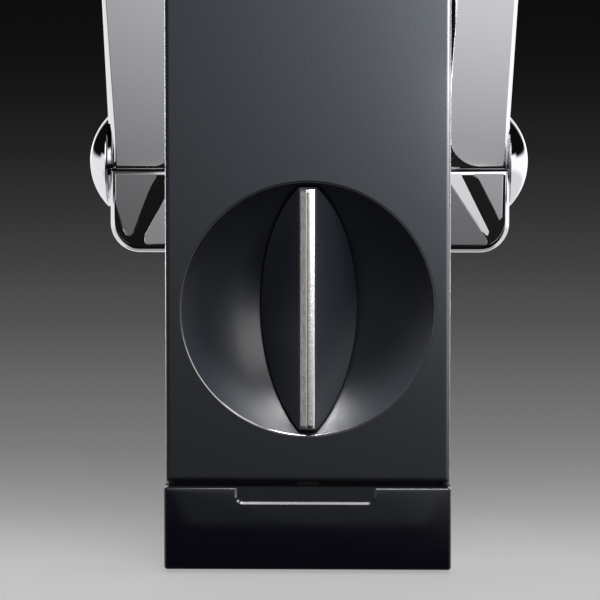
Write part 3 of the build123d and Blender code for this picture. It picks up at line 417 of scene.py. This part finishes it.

# raised facets of the right bracket: an inner one with a wide bright chamfer, and an outer one, both facets in a darker
# painted-shade copy of the chrome
pad("right_bracket_inner_facet", [(32.05, 87.7), (32.05, 72.85), (41.15, 72.85), (41.0, 74.2), (39.95, 75.9)], [0, 0, 1.0, 0.8, 0.6],
    BV0 - 0.80, BV0 + 0.2, "chrome_painted_dark", "frame", edge=0.12, tilt=(-0.02, 0.0), mirror=1)
pad("right_bracket_ridge", [(32.05, 89.3), (34.9, 89.3), (41.5, 76.0), (41.2, 74.7), (39.95, 75.9), (32.05, 87.75)],
    [0, 0.5, 0.6, 0.3, 0, 0], BV0 - 0.80, BV0 + 0.2, "chrome", "frame", edge=0.06, tilt=(0.060, 0.034), pivot=(36.2, 81.4), mirror=1)
pad("right_bracket_outer_facet", [(37.0, 89.3), (44.75, 89.3), (44.5, 79.2), (43.8, 78.2), (43.0, 80.2), (39.0, 88.0)], [0.5, 0.25, 0.4, 0.5, 3.0, 2.6],
    BV0 - 0.50, BV0 + 0.2, "chrome_painted_dark", "frame", edge=0.18, tilt=(-0.01, 0.02), mirror=1)
# raised facets of the left bracket
pad("left_bracket_outer_facet", [(34.7, 89.3), (45.0, 89.3), (44.9, 82.6), (43.3, 76.4), (42.4, 74.8), (41.0, 75.0), (37.0, 85.6)],
    [0.7, 0.25, 4.0, 1.0, 0.8, 0.8, 3.0], BV0 - 0.50, BV0 + 0.2, "chrome", "frame", edge=0.16, tilt=(0.021, -0.004), mirror=-1)
pad("left_bracket_inner_facet", [(32.05, 86.4), (32.05, 72.85), (38.3, 72.85), (38.25, 74.9)], [0, 0, 0.9, 0.9],
    BV0 - 0.50, BV0 + 0.2, "chrome", "frame", edge=0.16, tilt=(-0.058, 0.0), mirror=-1)

# ------------------------------------------------------------------ chrome lever arms
AX0, AX1 = 32.9, 46.2
LEAN = 7.2
HZB = hi_arm[2] / MM - 9.0                      # handle bar height
TOPX0, TOPX1 = 37.7, 54.7
PVV = (PY - YF) / MM
PZM = PZ / MM


def arm_in(z):
    return AX0 + (TOPX0 - AX0) * (z - PZM) / (HZB - PZM) if z > PZM else AX0


def arm_out(z):
    z0 = PZM + LEAN
    return AX1 + (TOPX1 - AX1) * (z - z0) / (HZB - z0) if z > z0 else AX1


def edge_in(z, s=-1):
    """Inner edge of the visible arm: close beside the tower low down, drawing away from it towards the handle."""
    if s > 0:
        return min(arm_in(z), 32.45 + 0.075 * max(0.0, z - 109.0))
    return 32.45 + 0.00253 * max(0.0, z - 96.0) ** 1.541


for s, side in SIDES:
    outline = []
    nz = 30
    for i in range(nz + 1):                      # front face, going up
        outline.append((PVV - 9.0, PZM + (HZB - PZM) * i / nz))
    for i in range(1, 32):
        a = math.pi * i / 32
        outline.append((PVV - 9.0 * math.cos(a), HZB + 9.0 * math.sin(a)))
    for i in range(nz + 1):
        outline.append((PVV + 9.0, HZB - (HZB - PZM) * i / nz))
    for i in range(1, 32):
        a = math.pi * i / 32
        outline.append((PVV + 9.0 * math.cos(a), PZM - 9.0 * math.sin(a)))
    bm = bmesh.new()
    inner = [bm.verts.new((s * mm(edge_in(z, s)), yv(v), mm(z))) for v, z in outline]
    outer = [bm.verts.new((s * mm(arm_out(z)), yv(v), mm(z))) for v, z in outline]
    n = len(outline)
    rim_edges = []
    for i in range(n):
        bm.faces.new((inner[i], outer[i], outer[(i + 1) % n], inner[(i + 1) % n]))
    bm.faces.new(inner)
    bm.faces.new(list(reversed(outer)))
    bmesh.ops.recalc_face_normals(bm, faces=bm.faces)
    oset = set(outer)
    iset = set(inner)
    oe = [e for e in bm.edges if all(v in oset for v in e.verts)]
    ie = [e for e in bm.edges if all(v in iset for v in e.verts)]
    bmesh.ops.bevel(bm, geom=oe, offset=mm(1.45), segments=8, profile=0.5, affect="EDGES", clamp_overlap=True)
    bmesh.ops.bevel(bm, geom=[e for e in bm.edges if e in set(ie) and e.is_valid], offset=mm(0.3), segments=4, profile=0.5,
                    affect="EDGES", clamp_overlap=True)
    link(f"{side}_arm_shell", bm, "chrome", "lever", f"{side}_arm", smooth_angle=40)

    # raised front panel, gently bowed, with a step at its inner lower corner where a dark plate is painted shade
    zt = HZB - 2.0
    zb = PZM - 0.80
    pts = [(edge_in(zt, s) + 0.10, zt)] + [(edge_in(z_, s) + 0.10, z_) for z_ in (222, 208, 194, 180, 166, 152, 140, 128, 118, 110, 104)]
    pts.append((32.55, zb))
    rad = [2.0] + [0] * 11 + [6.6 if s > 0 else 3.2]
    pts += [(arm_out(zb) - 1.4, zb), (arm_out(zb) - 1.05, PZM + LEAN), (arm_out(zt) - 0.4, zt)]
    rad += [0.4, 0, 2.0]
    out = rounded(pts, rad, n=14, lim=0.8)
    bm = bmesh.new()
    # strips across the panel, so that its face can bow
    zs = sorted({round(z / MM, 4) for _, z in out} | {zb + (zt - zb) * i / 40 for i in range(41)} | {zb + 0.25, zb + 0.6, zt - 0.25, zt - 0.6})
    cols = (0.0, 0.015, 0.05, 0.12, 0.25, 0.5, 0.75, 0.88, 0.95, 0.985, 1.0)

    def span(z):
        xs = []
        k = len(out)
        for i in range(k):
            (xa, za), (xb, zb_) = out[i], out[(i + 1) % k]
            za, zb_ = za / MM, zb_ / MM
            if (za - z) * (zb_ - z) <= 0 and abs(za - zb_) > 1e-9:
                t = (z - za) / (zb_ - za)
                xs.append((xa + (xb - xa) * t) / MM)
        return (min(xs), max(xs)) if len(xs) >= 2 else None

    rows = []
    for z in zs:
        sp = span(min(max(z, zb + 1e-3), zt - 1e-3))
        if not sp:
            continue
        x0, x1 = sp
        row = []
        for c_ in cols:
            x = x0 + (x1 - x0) * c_
            u = (c_ - 0.5) * 2
            v = PVV - 9.0 - 0.38 + 0.02 * u + (z - 112.0) ** 2 * 0.00002
            row.append(bm.verts.new((s * mm(x), yv(v), mm(z))))
        rows.append(row)
    for r0, r1 in zip(rows, rows[1:]):
        for j in range(len(cols) - 1):
            bm.faces.new((r0[j], r0[j + 1], r1[j + 1], r1[j]))
    bmesh.ops.recalc_face_normals(bm, faces=bm.faces)
    border = [e for e in bm.edges if e.is_boundary]
    ext = bmesh.ops.extrude_edge_only(bm, edges=border)
    low = [g for g in ext["geom"] if isinstance(g, bmesh.types.BMVert)]
    for v in low:
        v.co.y = yv(PVV - 8.1)
    back = [e for e in bm.edges if e.is_boundary]
    bmesh.ops.contextual_create(bm, geom=back)
    bmesh.ops.recalc_face_normals(bm, faces=bm.faces)
    top_edges = [e for e in bm.edges if len(e.link_faces) == 2 and e.calc_face_angle(0) > 1.0
                 and all(v.co.y < yv(PVV - 8.8) for v in e.verts)]
    bmesh.ops.bevel(bm, geom=top_edges, offset=mm(0.22), segments=4, profile=0.5, affect="EDGES", clamp_overlap=True)
    link(f"{side}_arm_panel", bm, "chrome", "lever", None, smooth_angle=50)
    # painted shade: dark plate at the arm's inner lower corner, standing in for dark reflection and shade
    pad(f"{side}_arm_recess", [(edge_in(PZM) + 0.05, 99.0), (edge_in(PZM) + 0.05, 90.75), (45.6, 90.75), (45.2, 92.0), (38.5, 94.0), (35.0, 99.0)],
        [0, 0, 0, 0, 0, 0], PVV - 9.0 - 0.10, PVV - 8.7, "recess", "lever", edge=0.04, mirror=s)

# ------------------------------------------------------------------ domed pivot caps
for s, side in SIDES:
    x1 = hi_cap[0] / MM - (0.8 if s > 0 else 0.0)
    x0 = x1 - 4.8
    R = (hi_cap[2] - lo_cap[2]) / 2 / MM - 0.05
    h = x1 - x0 - 0.5
    rd = (R * R + h * h) / (2 * h)
    prof = [(x0, 0.0), (x0, R - 0.35), (x0 + 0.1, R - 0.1), (x0 + 0.3, R)]
    tmax = math.asin(R / rd)
    for i in range(0, 41):
        th = tmax * (1 - i / 40)
        prof.append((x1 - rd + rd * math.cos(th), rd * math.sin(th)))
    bm = bmesh.new()
    n = 128
    rings = []
    for x, r in prof:
        if r < 1e-6:
            rings.append([bm.verts.new((s * mm(x), PY, PZ))])
        else:
            rings.append([bm.verts.new((s * mm(x), PY + mm(r) * math.cos(2 * math.pi * i / n), PZ + mm(r) * math.sin(2 * math.pi * i / n))) for i in range(n)])
    for ra, rb in zip(rings, rings[1:]):
        for i in range(n):
            j = (i + 1) % n
            if len(ra) == 1:
                bm.faces.new((ra[0], rb[i], rb[j]))
            elif len(rb) == 1:
                bm.faces.new((ra[i], rb[0], ra[j]))
            else:
                bm.faces.new((ra[i], rb[i], rb[j], ra[j]))
    # boss between the cap and the arm
    a = [bm.verts.new((s * mm(arm_out(PZM) - 0.05), PY + mm(7) * math.cos(2 * math.pi * i / 64), PZ + mm(7) * math.sin(2 * math.pi * i / 64))) for i in range(64)]
    b = [bm.verts.new((s * mm(x0 + 0.05), v.co.y, v.co.z)) for v in a]
    for i in range(64):
        j = (i + 1) % 64
        bm.faces.new((a[i], b[i], b[j], a[j]))
    bm.faces.new(a)
    bm.faces.new(list(reversed(b)))
    link(f"{side}_pivot_cap_dome", bm, "chrome", "lever", f"{side}_pivot_cap", smooth_angle=45)

# ------------------------------------------------------------------ dish: spherical bowl with a small polished radius at its lip
rim_ang = math.asin(RIM / RS)
rho = 0.66
t_ = rho * math.tan(rim_ang / 2)
rr, vc = RIM / MM, (YC - YF) / MM
ra_ = rr + t_
prof = [(ra_, 1.6), (ra_, 0.0)]
lip0 = len(prof) - 1
for i in range(1, 15):
    th = rim_ang * i / 14
    prof.append((ra_ - rho * math.sin(th), rho * (1 - math.cos(th))))
lip1 = len(prof) - 1
r_in = prof[-1][0]
for i in range(1, 61):
    th = math.asin(r_in * MM / RS) * (1 - i / 60)
    prof.append((RS / MM * math.sin(th), vc + RS / MM * math.cos(th)))
prof[-1] = (0.0, prof[-1][1])
back = [(0.0, prof[-1][1] + 1.6)]
for i in range(1, 31):
    th = math.asin(min(1.0, (r_in + 0.1) * MM / RS)) * i / 30
    back.append(((RS / MM + 1.6) * math.sin(th), vc + (RS / MM + 1.6) * math.cos(th)))
back = [(min(r, ra_ - 0.02), max(v, 1.6)) for r, v in back]
prof += back
bm = bmesh.new()
n = 240
rings = []
for r, v in prof:
    if r == 0.0:
        rings.append([bm.verts.new((0, yv(v), DZ))])
    else:
        rings.append([bm.verts.new((mm(r) * math.cos(2 * math.pi * i / n), yv(v), DZ + mm(r) * math.sin(2 * math.pi * i / n))) for i in range(n)])
for k_, (ra, rb) in enumerate(zip(rings, rings[1:])):
    for i in range(n):
        j = (i + 1) % n
        if len(ra) == 1 and len(rb) == 1:
            break
        if len(ra) == 1:
            f = bm.faces.new((ra[0], rb[j], rb[i]))
        elif len(rb) == 1:
            f = bm.faces.new((ra[i], ra[j], rb[0]))
        else:
            f = bm.faces.new((ra[i], ra[j], rb[j], rb[i]))
        f.material_index = 1 if lip0 <= k_ < lip1 else 0
dish_ob = link("dish_bowl", bm, "dish", "frame", "control_dish", smooth_angle=40)
dish_ob.data.materials.append(M["lip"])

# ------------------------------------------------------------------ knob strip: a flat facet, a fine groove and a crowned rib
lo_s, hi_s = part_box("knob_strip")
SZ0, SZ1 = lo_s[2], hi_s[2]
hw = (hi_s[0] - lo_s[0]) / 2 / MM
prof = [(-hw, 0.48), (-hw, 0.02), (-hw + 0.06, -0.05), (-0.36, -0.26), (-0.30, -0.20), (-0.24, -0.20), (-0.18, -0.30)]
for i in range(0, 9):
    u_ = i / 8
    prof.append((-0.14 + 0.92 * u_, -0.36 - 0.075 * math.sin(math.pi * (0.25 + 0.75 * u_))))
prof += [(hw - 0.34, -0.20), (hw - 0.10, -0.10), (hw, 0.02), (hw, 0.48)]
bm = bmesh.new()
zs_ = [SZ0, SZ0 + mm(0.25), SZ0 + mm(0.7)] + [SZ0 + (SZ1 - SZ0) * i / 40 for i in range(1, 40)] + [SZ1 - mm(0.7), SZ1 - mm(0.25), SZ1]
rows = []
for k_, z in enumerate(zs_):
    e_ = min(k_, len(zs_) - 1 - k_)
    sink = {0: 0.10, 1: 0.0}.get(e_, 0.0)
    rows.append([bm.verts.new((mm(x), yv(v + (sink if v < 0.4 else 0.0)), z)) for x, v in prof])
for r0, r1 in zip(rows, rows[1:]):
    for j in range(len(prof)):
        k_ = (j + 1) % len(prof)
        bm.faces.new((r0[j], r0[k_], r1[k_], r1[j]))
bm.faces.new(rows[0])
bm.faces.new(list(reversed(rows[-1])))
link("knob_strip_bar", bm, "strip", "selector", "knob_strip", smooth_angle=24)

# ------------------------------------------------------------------ drawer front with its finger ledge
tx0, tx1 = lo_t[0], hi_t[0]
ty0, ty1 = lo_t[1], hi_t[1]
tz0, tz1 = lo_t[2], hi_t[2]
bm = bmesh.new()
bmesh.ops.create_cube(bm, size=1.0)
for v in bm.verts:
    v.co = ((tx0 + tx1) / 2 + v.co.x * (tx1 - tx0), (ty0 + ty1) / 2 + v.co.y * (ty1 - ty0), (tz0 + tz1) / 2 + v.co.z * (tz1 - tz0))
fr = [e for e in bm.edges if all(v.co.y < ty0 + 1e-6 for v in e.verts)]
sd = [e for e in bm.edges if abs(e.verts[0].co.y - e.verts[1].co.y) > 1e-4]
bmesh.ops.bevel(bm, geom=sd, offset=mm(0.7), segments=5, profile=0.5, affect="EDGES", clamp_overlap=True)
fr = [e for e in bm.edges if all(v.co.y < ty0 + 1e-6 for v in e.verts)]
bmesh.ops.bevel(bm, geom=fr, offset=mm(0.55), segments=5, profile=0.5, affect="EDGES", clamp_overlap=True)
tray_ob = link("tray_front_panel", bm, "tray", "tray", "tray_front", smooth_angle=40)
RW0, RW1, RH = -16.35, 15.55, 15.75
cb = bmesh.new()
outer_ = rounded([(RW0, 21.5), (RW0, RH), (RW1, RH), (RW1, 21.5)], [0, 1.9, 1.9, 0], n=10)
inner_ = rounded([(RW0 + 0.5, 21.5), (RW0 + 0.5, RH + 0.5), (RW1 - 0.5, RH + 0.5), (RW1 - 0.5, 21.5)], [0, 1.4, 1.4, 0], n=10)
far_ = [(x, z) for x, z in outer_]
r_a = [cb.verts.new((x, ty0 - mm(1.0), z)) for x, z in far_]
r_b = [cb.verts.new((x, ty0 + mm(0.0), z)) for x, z in outer_]
r_c = [cb.verts.new((x, ty0 + mm(0.5), z)) for x, z in inner_]
for ra, rb in ((r_a, r_b), (r_b, r_c)):
    for i in range(len(ra)):
        j = (i + 1) % len(ra)
        cb.faces.new((ra[i], ra[j], rb[j], rb[i]))
cb.faces.new(list(reversed(r_a)))
cb.faces.new(r_c)
bmesh.ops.recalc_face_normals(cb, faces=cb.faces)
cme = bpy.data.meshes.new("cut3")
cb.to_mesh(cme)
cb.free()
cob = bpy.data.objects.new("cut3", cme)
bpy.context.scene.collection.objects.link(cob)
boolean(tray_ob, cob)
for p_ in tray_ob.data.polygons:
    p_.use_smooth = True
tray_ob.data.set_sharp_from_angle(angle=math.radians(28))

# ------------------------------------------------------------------ floor, light, camera
def sweep():
    """Pale floor that curves up at its far end; its grey deepens along the run, a painted falloff of light that darkens
    it the farther back it goes.
    """
    prof = [(-4.0, 0.0), (-0.3, 0.0), (0.0, 0.0), (0.2, 0.0), (0.4, 0.0), (0.6, 0.0)]
    R_ = 0.6
    for i in range(1, 17):
        a = math.radians(50 * i / 16)
        prof.append((0.6 + R_ * math.sin(a), R_ * (1 - math.cos(a))))
    bm = bmesh.new()
    xs = [-5 + 10 * i / 10 for i in range(11)]
    rows = [[bm.verts.new((x, y, z)) for x in xs] for y, z in prof]
    for r0, r1 in zip(rows, rows[1:]):
        for j in range(len(xs) - 1):
            bm.faces.new((r0[j], r0[j + 1], r1[j + 1], r1[j]))
    me = bpy.data.meshes.new("floor")
    bm.to_mesh(me)
    bm.free()
    for p_ in me.polygons:
        p_.use_smooth = True
    ob = bpy.data.objects.new("floor", me)
    bpy.context.scene.collection.objects.link(ob)
    m, nt, b = new_mat("pale_floor")
    b.inputs["Roughness"].default_value = 0.9
    b.inputs["Specular IOR Level"].default_value = 0.0
    tc = nt.nodes.new("ShaderNodeTexCoord")
    sp = nt.nodes.new("ShaderNodeSeparateXYZ")
    nt.links.new(tc.outputs["Object"], sp.inputs[0])
    add = nt.nodes.new("ShaderNodeMath")
    add.operation = "ADD"
    nt.links.new(sp.outputs["Y"], add.inputs[0])
    nt.links.new(sp.outputs["Z"], add.inputs[1])
    mr = nt.nodes.new("ShaderNodeMapRange")
    mr.inputs["From Min"].default_value = -0.10
    mr.inputs["From Max"].default_value = 1.60
    nt.links.new(add.outputs[0], mr.inputs["Value"])
    pw = nt.nodes.new("ShaderNodeMath")
    pw.operation = "POWER"
    pw.inputs[1].default_value = 0.5
    nt.links.new(mr.outputs["Result"], pw.inputs[0])
    cr = nt.nodes.new("ShaderNodeValToRGB")
    el = cr.color_ramp.elements
    stops = [(((u + 0.10) / 1.70) ** 0.5, c) for u, c in FLOOR_PAINTED_FALLOFF]
    el[0].position, el[0].color = stops[0][0], (*[stops[0][1]] * 3, 1)
    el[1].position, el[1].color = stops[-1][0], (*[stops[-1][1]] * 3, 1)
    for u, c in stops[1:-1]:
        e = el.new(u)
        e.color = (c, c, c, 1)
    nt.links.new(pw.outputs[0], cr.inputs["Fac"])
    nt.links.new(cr.outputs["Color"], b.inputs["Base Color"])
    me.materials.append(m)
    ob.visible_glossy = False
    return ob


# painted light falloff: the floor greys along the run, standing in for the studio light dimming towards the back
FLOOR_PAINTED_FALLOFF = [(-0.10, 0.61), (-0.052, 0.598), (-0.0127, 0.565), (0.0163, 0.497), (0.0649, 0.373), (0.1206, 0.290),
               (0.1852, 0.229), (0.2612, 0.1887), (0.3516, 0.156), (0.461, 0.1265), (0.5963, 0.0998), (0.692, 0.0802),
               (0.757, 0.0603), (0.813, 0.0458), (0.8638, 0.0345), (0.9112, 0.0252), (0.9561, 0.0177), (0.9992, 0.0129),
               (1.041, 0.0089), (1.081, 0.0065), (1.12, 0.0051), (1.155, 0.0042), (1.60, 0.003)]
floor_ob = sweep()


def only(light, name, objs):
    """Limit a light to some of the set."""
    c = bpy.data.collections.new(name)
    for o in objs:
        c.objects.link(o)
    light.light_linking.receiver_collection = c


W_CARD = 1.0
W_SIDE = 1.0
P_KEY = 1.5
P_TOP = 14.0
world = bpy.data.worlds.new("studio")
bpy.context.scene.world = world
world.use_nodes = True
wt = world.node_tree
bg = wt.nodes["Background"]


class Fn:
    """Small helper: arithmetic on world shader sockets."""

    def __init__(self, sock):
        self.s = sock

    @staticmethod
    def _m(op, a, b=None):
        n = wt.nodes.new("ShaderNodeMath")
        n.operation = op
        for i, v in enumerate((a, b)):
            if v is None:
                continue
            if isinstance(v, Fn):
                wt.links.new(v.s, n.inputs[i])
            else:
                n.inputs[i].default_value = v
        return Fn(n.outputs[0])

    def __mul__(self, o):
        return Fn._m("MULTIPLY", self, o)

    def __add__(self, o):
        return Fn._m("ADD", self, o)

    def __rmul__(self, o):
        return Fn._m("MULTIPLY", self, o)

    def __rsub__(self, o):
        return Fn._m("SUBTRACT", o, self)

    def step(self, a, b):
        """0 below a, 1 above b, smooth between."""
        n = wt.nodes.new("ShaderNodeMapRange")
        n.interpolation_type = "SMOOTHSTEP"
        n.inputs["From Min"].default_value = a
        n.inputs["From Max"].default_value = b
        wt.links.new(self.s, n.inputs["Value"])
        return Fn(n.outputs["Result"])

    def win(self, a0, a1, b0, b1):
        return self.step(a0, a1) * (1.0 - self.step(b0, b1))


tc = wt.nodes.new("ShaderNodeTexCoord")
sx = wt.nodes.new("ShaderNodeSeparateXYZ")
wt.links.new(tc.outputs["Generated"], sx.inputs[0])
DX, DY, DZ_ = Fn(sx.outputs["X"]), Fn(sx.outputs["Y"]), Fn(sx.outputs["Z"])
DEG = 180 / math.pi
azim = Fn._m("ARCTAN2", DX, DY * -1.0) * DEG          # 0 towards the viewer, + to the right
elev = Fn._m("ARCSINE", DZ_) * DEG
aabs = Fn._m("ABSOLUTE", azim)

card = elev.win(-9.3, -8.7, 38, 56) * azim.win(-46, -30, 34, 40) * (azim.step(-20, 8) * 1.07 + 0.05) * (elev.step(-4, 3) * 0.46 + 0.22 + elev.step(4, 11) * 0.75)
right = azim.step(37, 45) * (1.0 - (elev.step(5, 9) * (1.0 - azim.step(104, 112)) + elev.step(1.5, 6) * azim.step(104, 112))) * elev.step(-60, -50) * (elev.step(-14, -7) * 0.38 + 0.72) * W_SIDE
left = azim.win(-112, -104, -36, -28) * (1.0 - elev.step(5, 9)) * elev.step(-60, -50) * (elev.step(-14, -7) * 0.15 + 0.70) * W_SIDE
left_back = (1.0 - azim.step(-112, -104)) * (1.0 - elev.step(0.5, 5.5)) * elev.step(-60, -50) * 0.85 * W_SIDE
back = aabs.step(149, 157) * elev.win(-3, 2, 40, 50) * 0.8 * W_SIDE
down = (1.0 - elev.step(-60, -50)) * 0.35 * W_SIDE
total = card * W_CARD + right + left + left_back + back + down
total = total + 0.004
cb_ = wt.nodes.new("ShaderNodeCombineXYZ")
wt.links.new((total * 1.0).s, cb_.inputs[0])
wt.links.new((total * 1.0).s, cb_.inputs[1])
wt.links.new((total * 1.02).s, cb_.inputs[2])
# what the camera sees past the floor is a plain dark backdrop; the cards only light the object
lp = wt.nodes.new("ShaderNodeLightPath")
mx = wt.nodes.new("ShaderNodeMix")
mx.data_type = "RGBA"
wt.links.new(lp.outputs["Is Camera Ray"], mx.inputs["Factor"])
wt.links.new(cb_.outputs[0], mx.inputs["A"])
mx.inputs["B"].default_value = (0.0033, 0.0033, 0.0033, 1)
wt.links.new(mx.outputs["Result"], bg.inputs[0])
bg.inputs[1].default_value = 1.0


def area(name, loc, target, size, power, color=(1, 1, 1)):
    d = bpy.data.lights.new(name, "AREA")
    d.shape = "RECTANGLE"
    d.size, d.size_y = size
    d.energy = power
    d.color = color
    o = bpy.data.objects.new(name, d)
    bpy.context.scene.collection.objects.link(o)
    o.location = loc
    o.rotation_euler = (Vector(target) - Vector(loc)).to_track_quat("-Z", "Y").to_euler()
    o.visible_camera = False
    return o


P_FLOOR = 60.0
body_objs = [o for o in bpy.context.scene.objects if o.type == "MESH" and o is not floor_ob]
shell_objs = [nodes[k] for k in ("front_cover", "rear_cover", "base_housing", "housing_screws")]
rest_objs = [o for o in body_objs if o not in shell_objs]
tray_objs = [tray_ob, nodes["drip_tray"], nodes["tray_catch"]]
knob_objs = [nodes["control_knob"]]
chrome_objs = [o for o in rest_objs if o.data.materials and o.data.materials[0] in (M["chrome"], M["chrome_painted_dark"], M["recess"])]
strip_obj = bpy.data.objects["knob_strip_bar"]
front_objs = [dish_ob, nodes["control_knob"]]
mech_objs = [o for o in rest_objs if o not in tray_objs + chrome_objs + front_objs + [strip_obj]]
key = area("key_right", (0.150, YF - 0.225, 0.195), (0.0, YF, 0.07), (0.15, 0.26), P_KEY)
only(key, "lit_by_key", front_objs + [strip_obj])
top_l = area("overhead", (0.034, YF - 0.050, 0.42), (0.0, YF, 0.05), (0.14, 0.07), P_TOP)
only(top_l, "lit_by_top", front_objs)
P_TRAY = 2.1
tray_l = area("overhead_tray", (0.04, YF - 0.10, 0.42), (0.0, YF, 0.02), (0.20, 0.12), P_TRAY)
only(tray_l, "lit_by_tray", tray_objs)
P_SIDE = 2.25
side = area("side_near", (0.106, YF - 0.054, 0.155), (0.0, YF, 0.200), (0.035, 0.09), P_SIDE)
only(side, "lit_by_side", shell_objs)
low = area("side_low", (0.056, YF - 0.010, 0.068), (0.030, YF, 0.055), (0.012, 0.10), 0.055)
only(low, "lit_by_side_low", shell_objs)
P_FILL = 1.8
fill = area("fill_left", (-0.26, YF - 0.24, 0.02), (0.0, YF, 0.05), (0.16, 0.16), P_FILL)
only(fill, "lit_by_fill", knob_objs)
P_HIGH = 1.0
high = area("key_high", (0.190, YF - 0.060, 0.34), (0.0, YF, 0.04), (0.12, 0.12), P_HIGH)
only(high, "lit_by_high", front_objs)
tray_s = area("tray_side", (0.16, YF - 0.012, 0.011), (0.0, YF - 0.001, 0.017), (0.03, 0.018), 0.016)
only(tray_s, "lit_by_tray_side", tray_objs)
tray_c = area("tray_corner", (0.10, YF - 0.030, 0.12), (-0.01, YF, 0.017), (0.04, 0.04), 0.08)
only(tray_c, "lit_by_tray_corner", tray_objs)
strip_l = area("strip_left", (-0.26, YF - 0.42, 0.03), (0.0, YF, 0.06), (0.20, 0.30), 0.07)
only(strip_l, "lit_by_strip_left", [strip_obj])
soft = area("mechanism_soft", (0.20, YF - 0.50, 0.62), (0.0, YF, 0.18), (0.40, 0.40), 8.0)
only(soft, "lit_by_soft", mech_objs)
rear_r = area("rear_right", (0.50, 0.80, 0.10), (0.0, 0.02, 0.10), (0.50, 0.17), 9.0)
only(rear_r, "lit_by_rear_right", shell_objs + mech_objs)
rear_r.data.specular_factor = 0.18
rear_l = area("rear_left", (-0.50, 0.75, 0.10), (0.0, 0.02, 0.10), (0.50, 0.17), 12.0)
only(rear_l, "lit_by_rear_left", shell_objs + mech_objs)
rear_l.data.specular_factor = 0.16
P_KNOB = 1.2
kr = area("knob_right", (0.26, YF - 0.16, 0.11), (0.0, YF, 0.06), (0.12, 0.16), P_KNOB)
only(kr, "lit_by_knob_right", knob_objs)
fl = area("floor_light", (0.0, 0.3, 2.2), (0.0, 0.3, 0.0), (3.0, 3.0), P_FLOOR)
only(fl, "lit_floor", [floor_ob])
clear = bpy.data.collections.new("floor_blockers")
clear.objects.link(floor_ob)
fl.light_linking.blocker_collection = clear

cam_data = bpy.data.cameras.new("camera")
cam_data.sensor_width = 36.0
cam_data.lens = 174.5
cam_data.clip_end = 40
cam = bpy.data.objects.new("camera", cam_data)
bpy.context.scene.collection.objects.link(cam)
cam.location = (0.0128, YF - 0.650, 0.1119)
aim = Vector((-0.0017, YF, 0.0617))
cam.rotation_euler = (aim - cam.location).to_track_quat("-Z", "Y").to_euler()
bpy.context.scene.camera = cam
bpy.context.scene.view_settings.view_transform = "Standard"
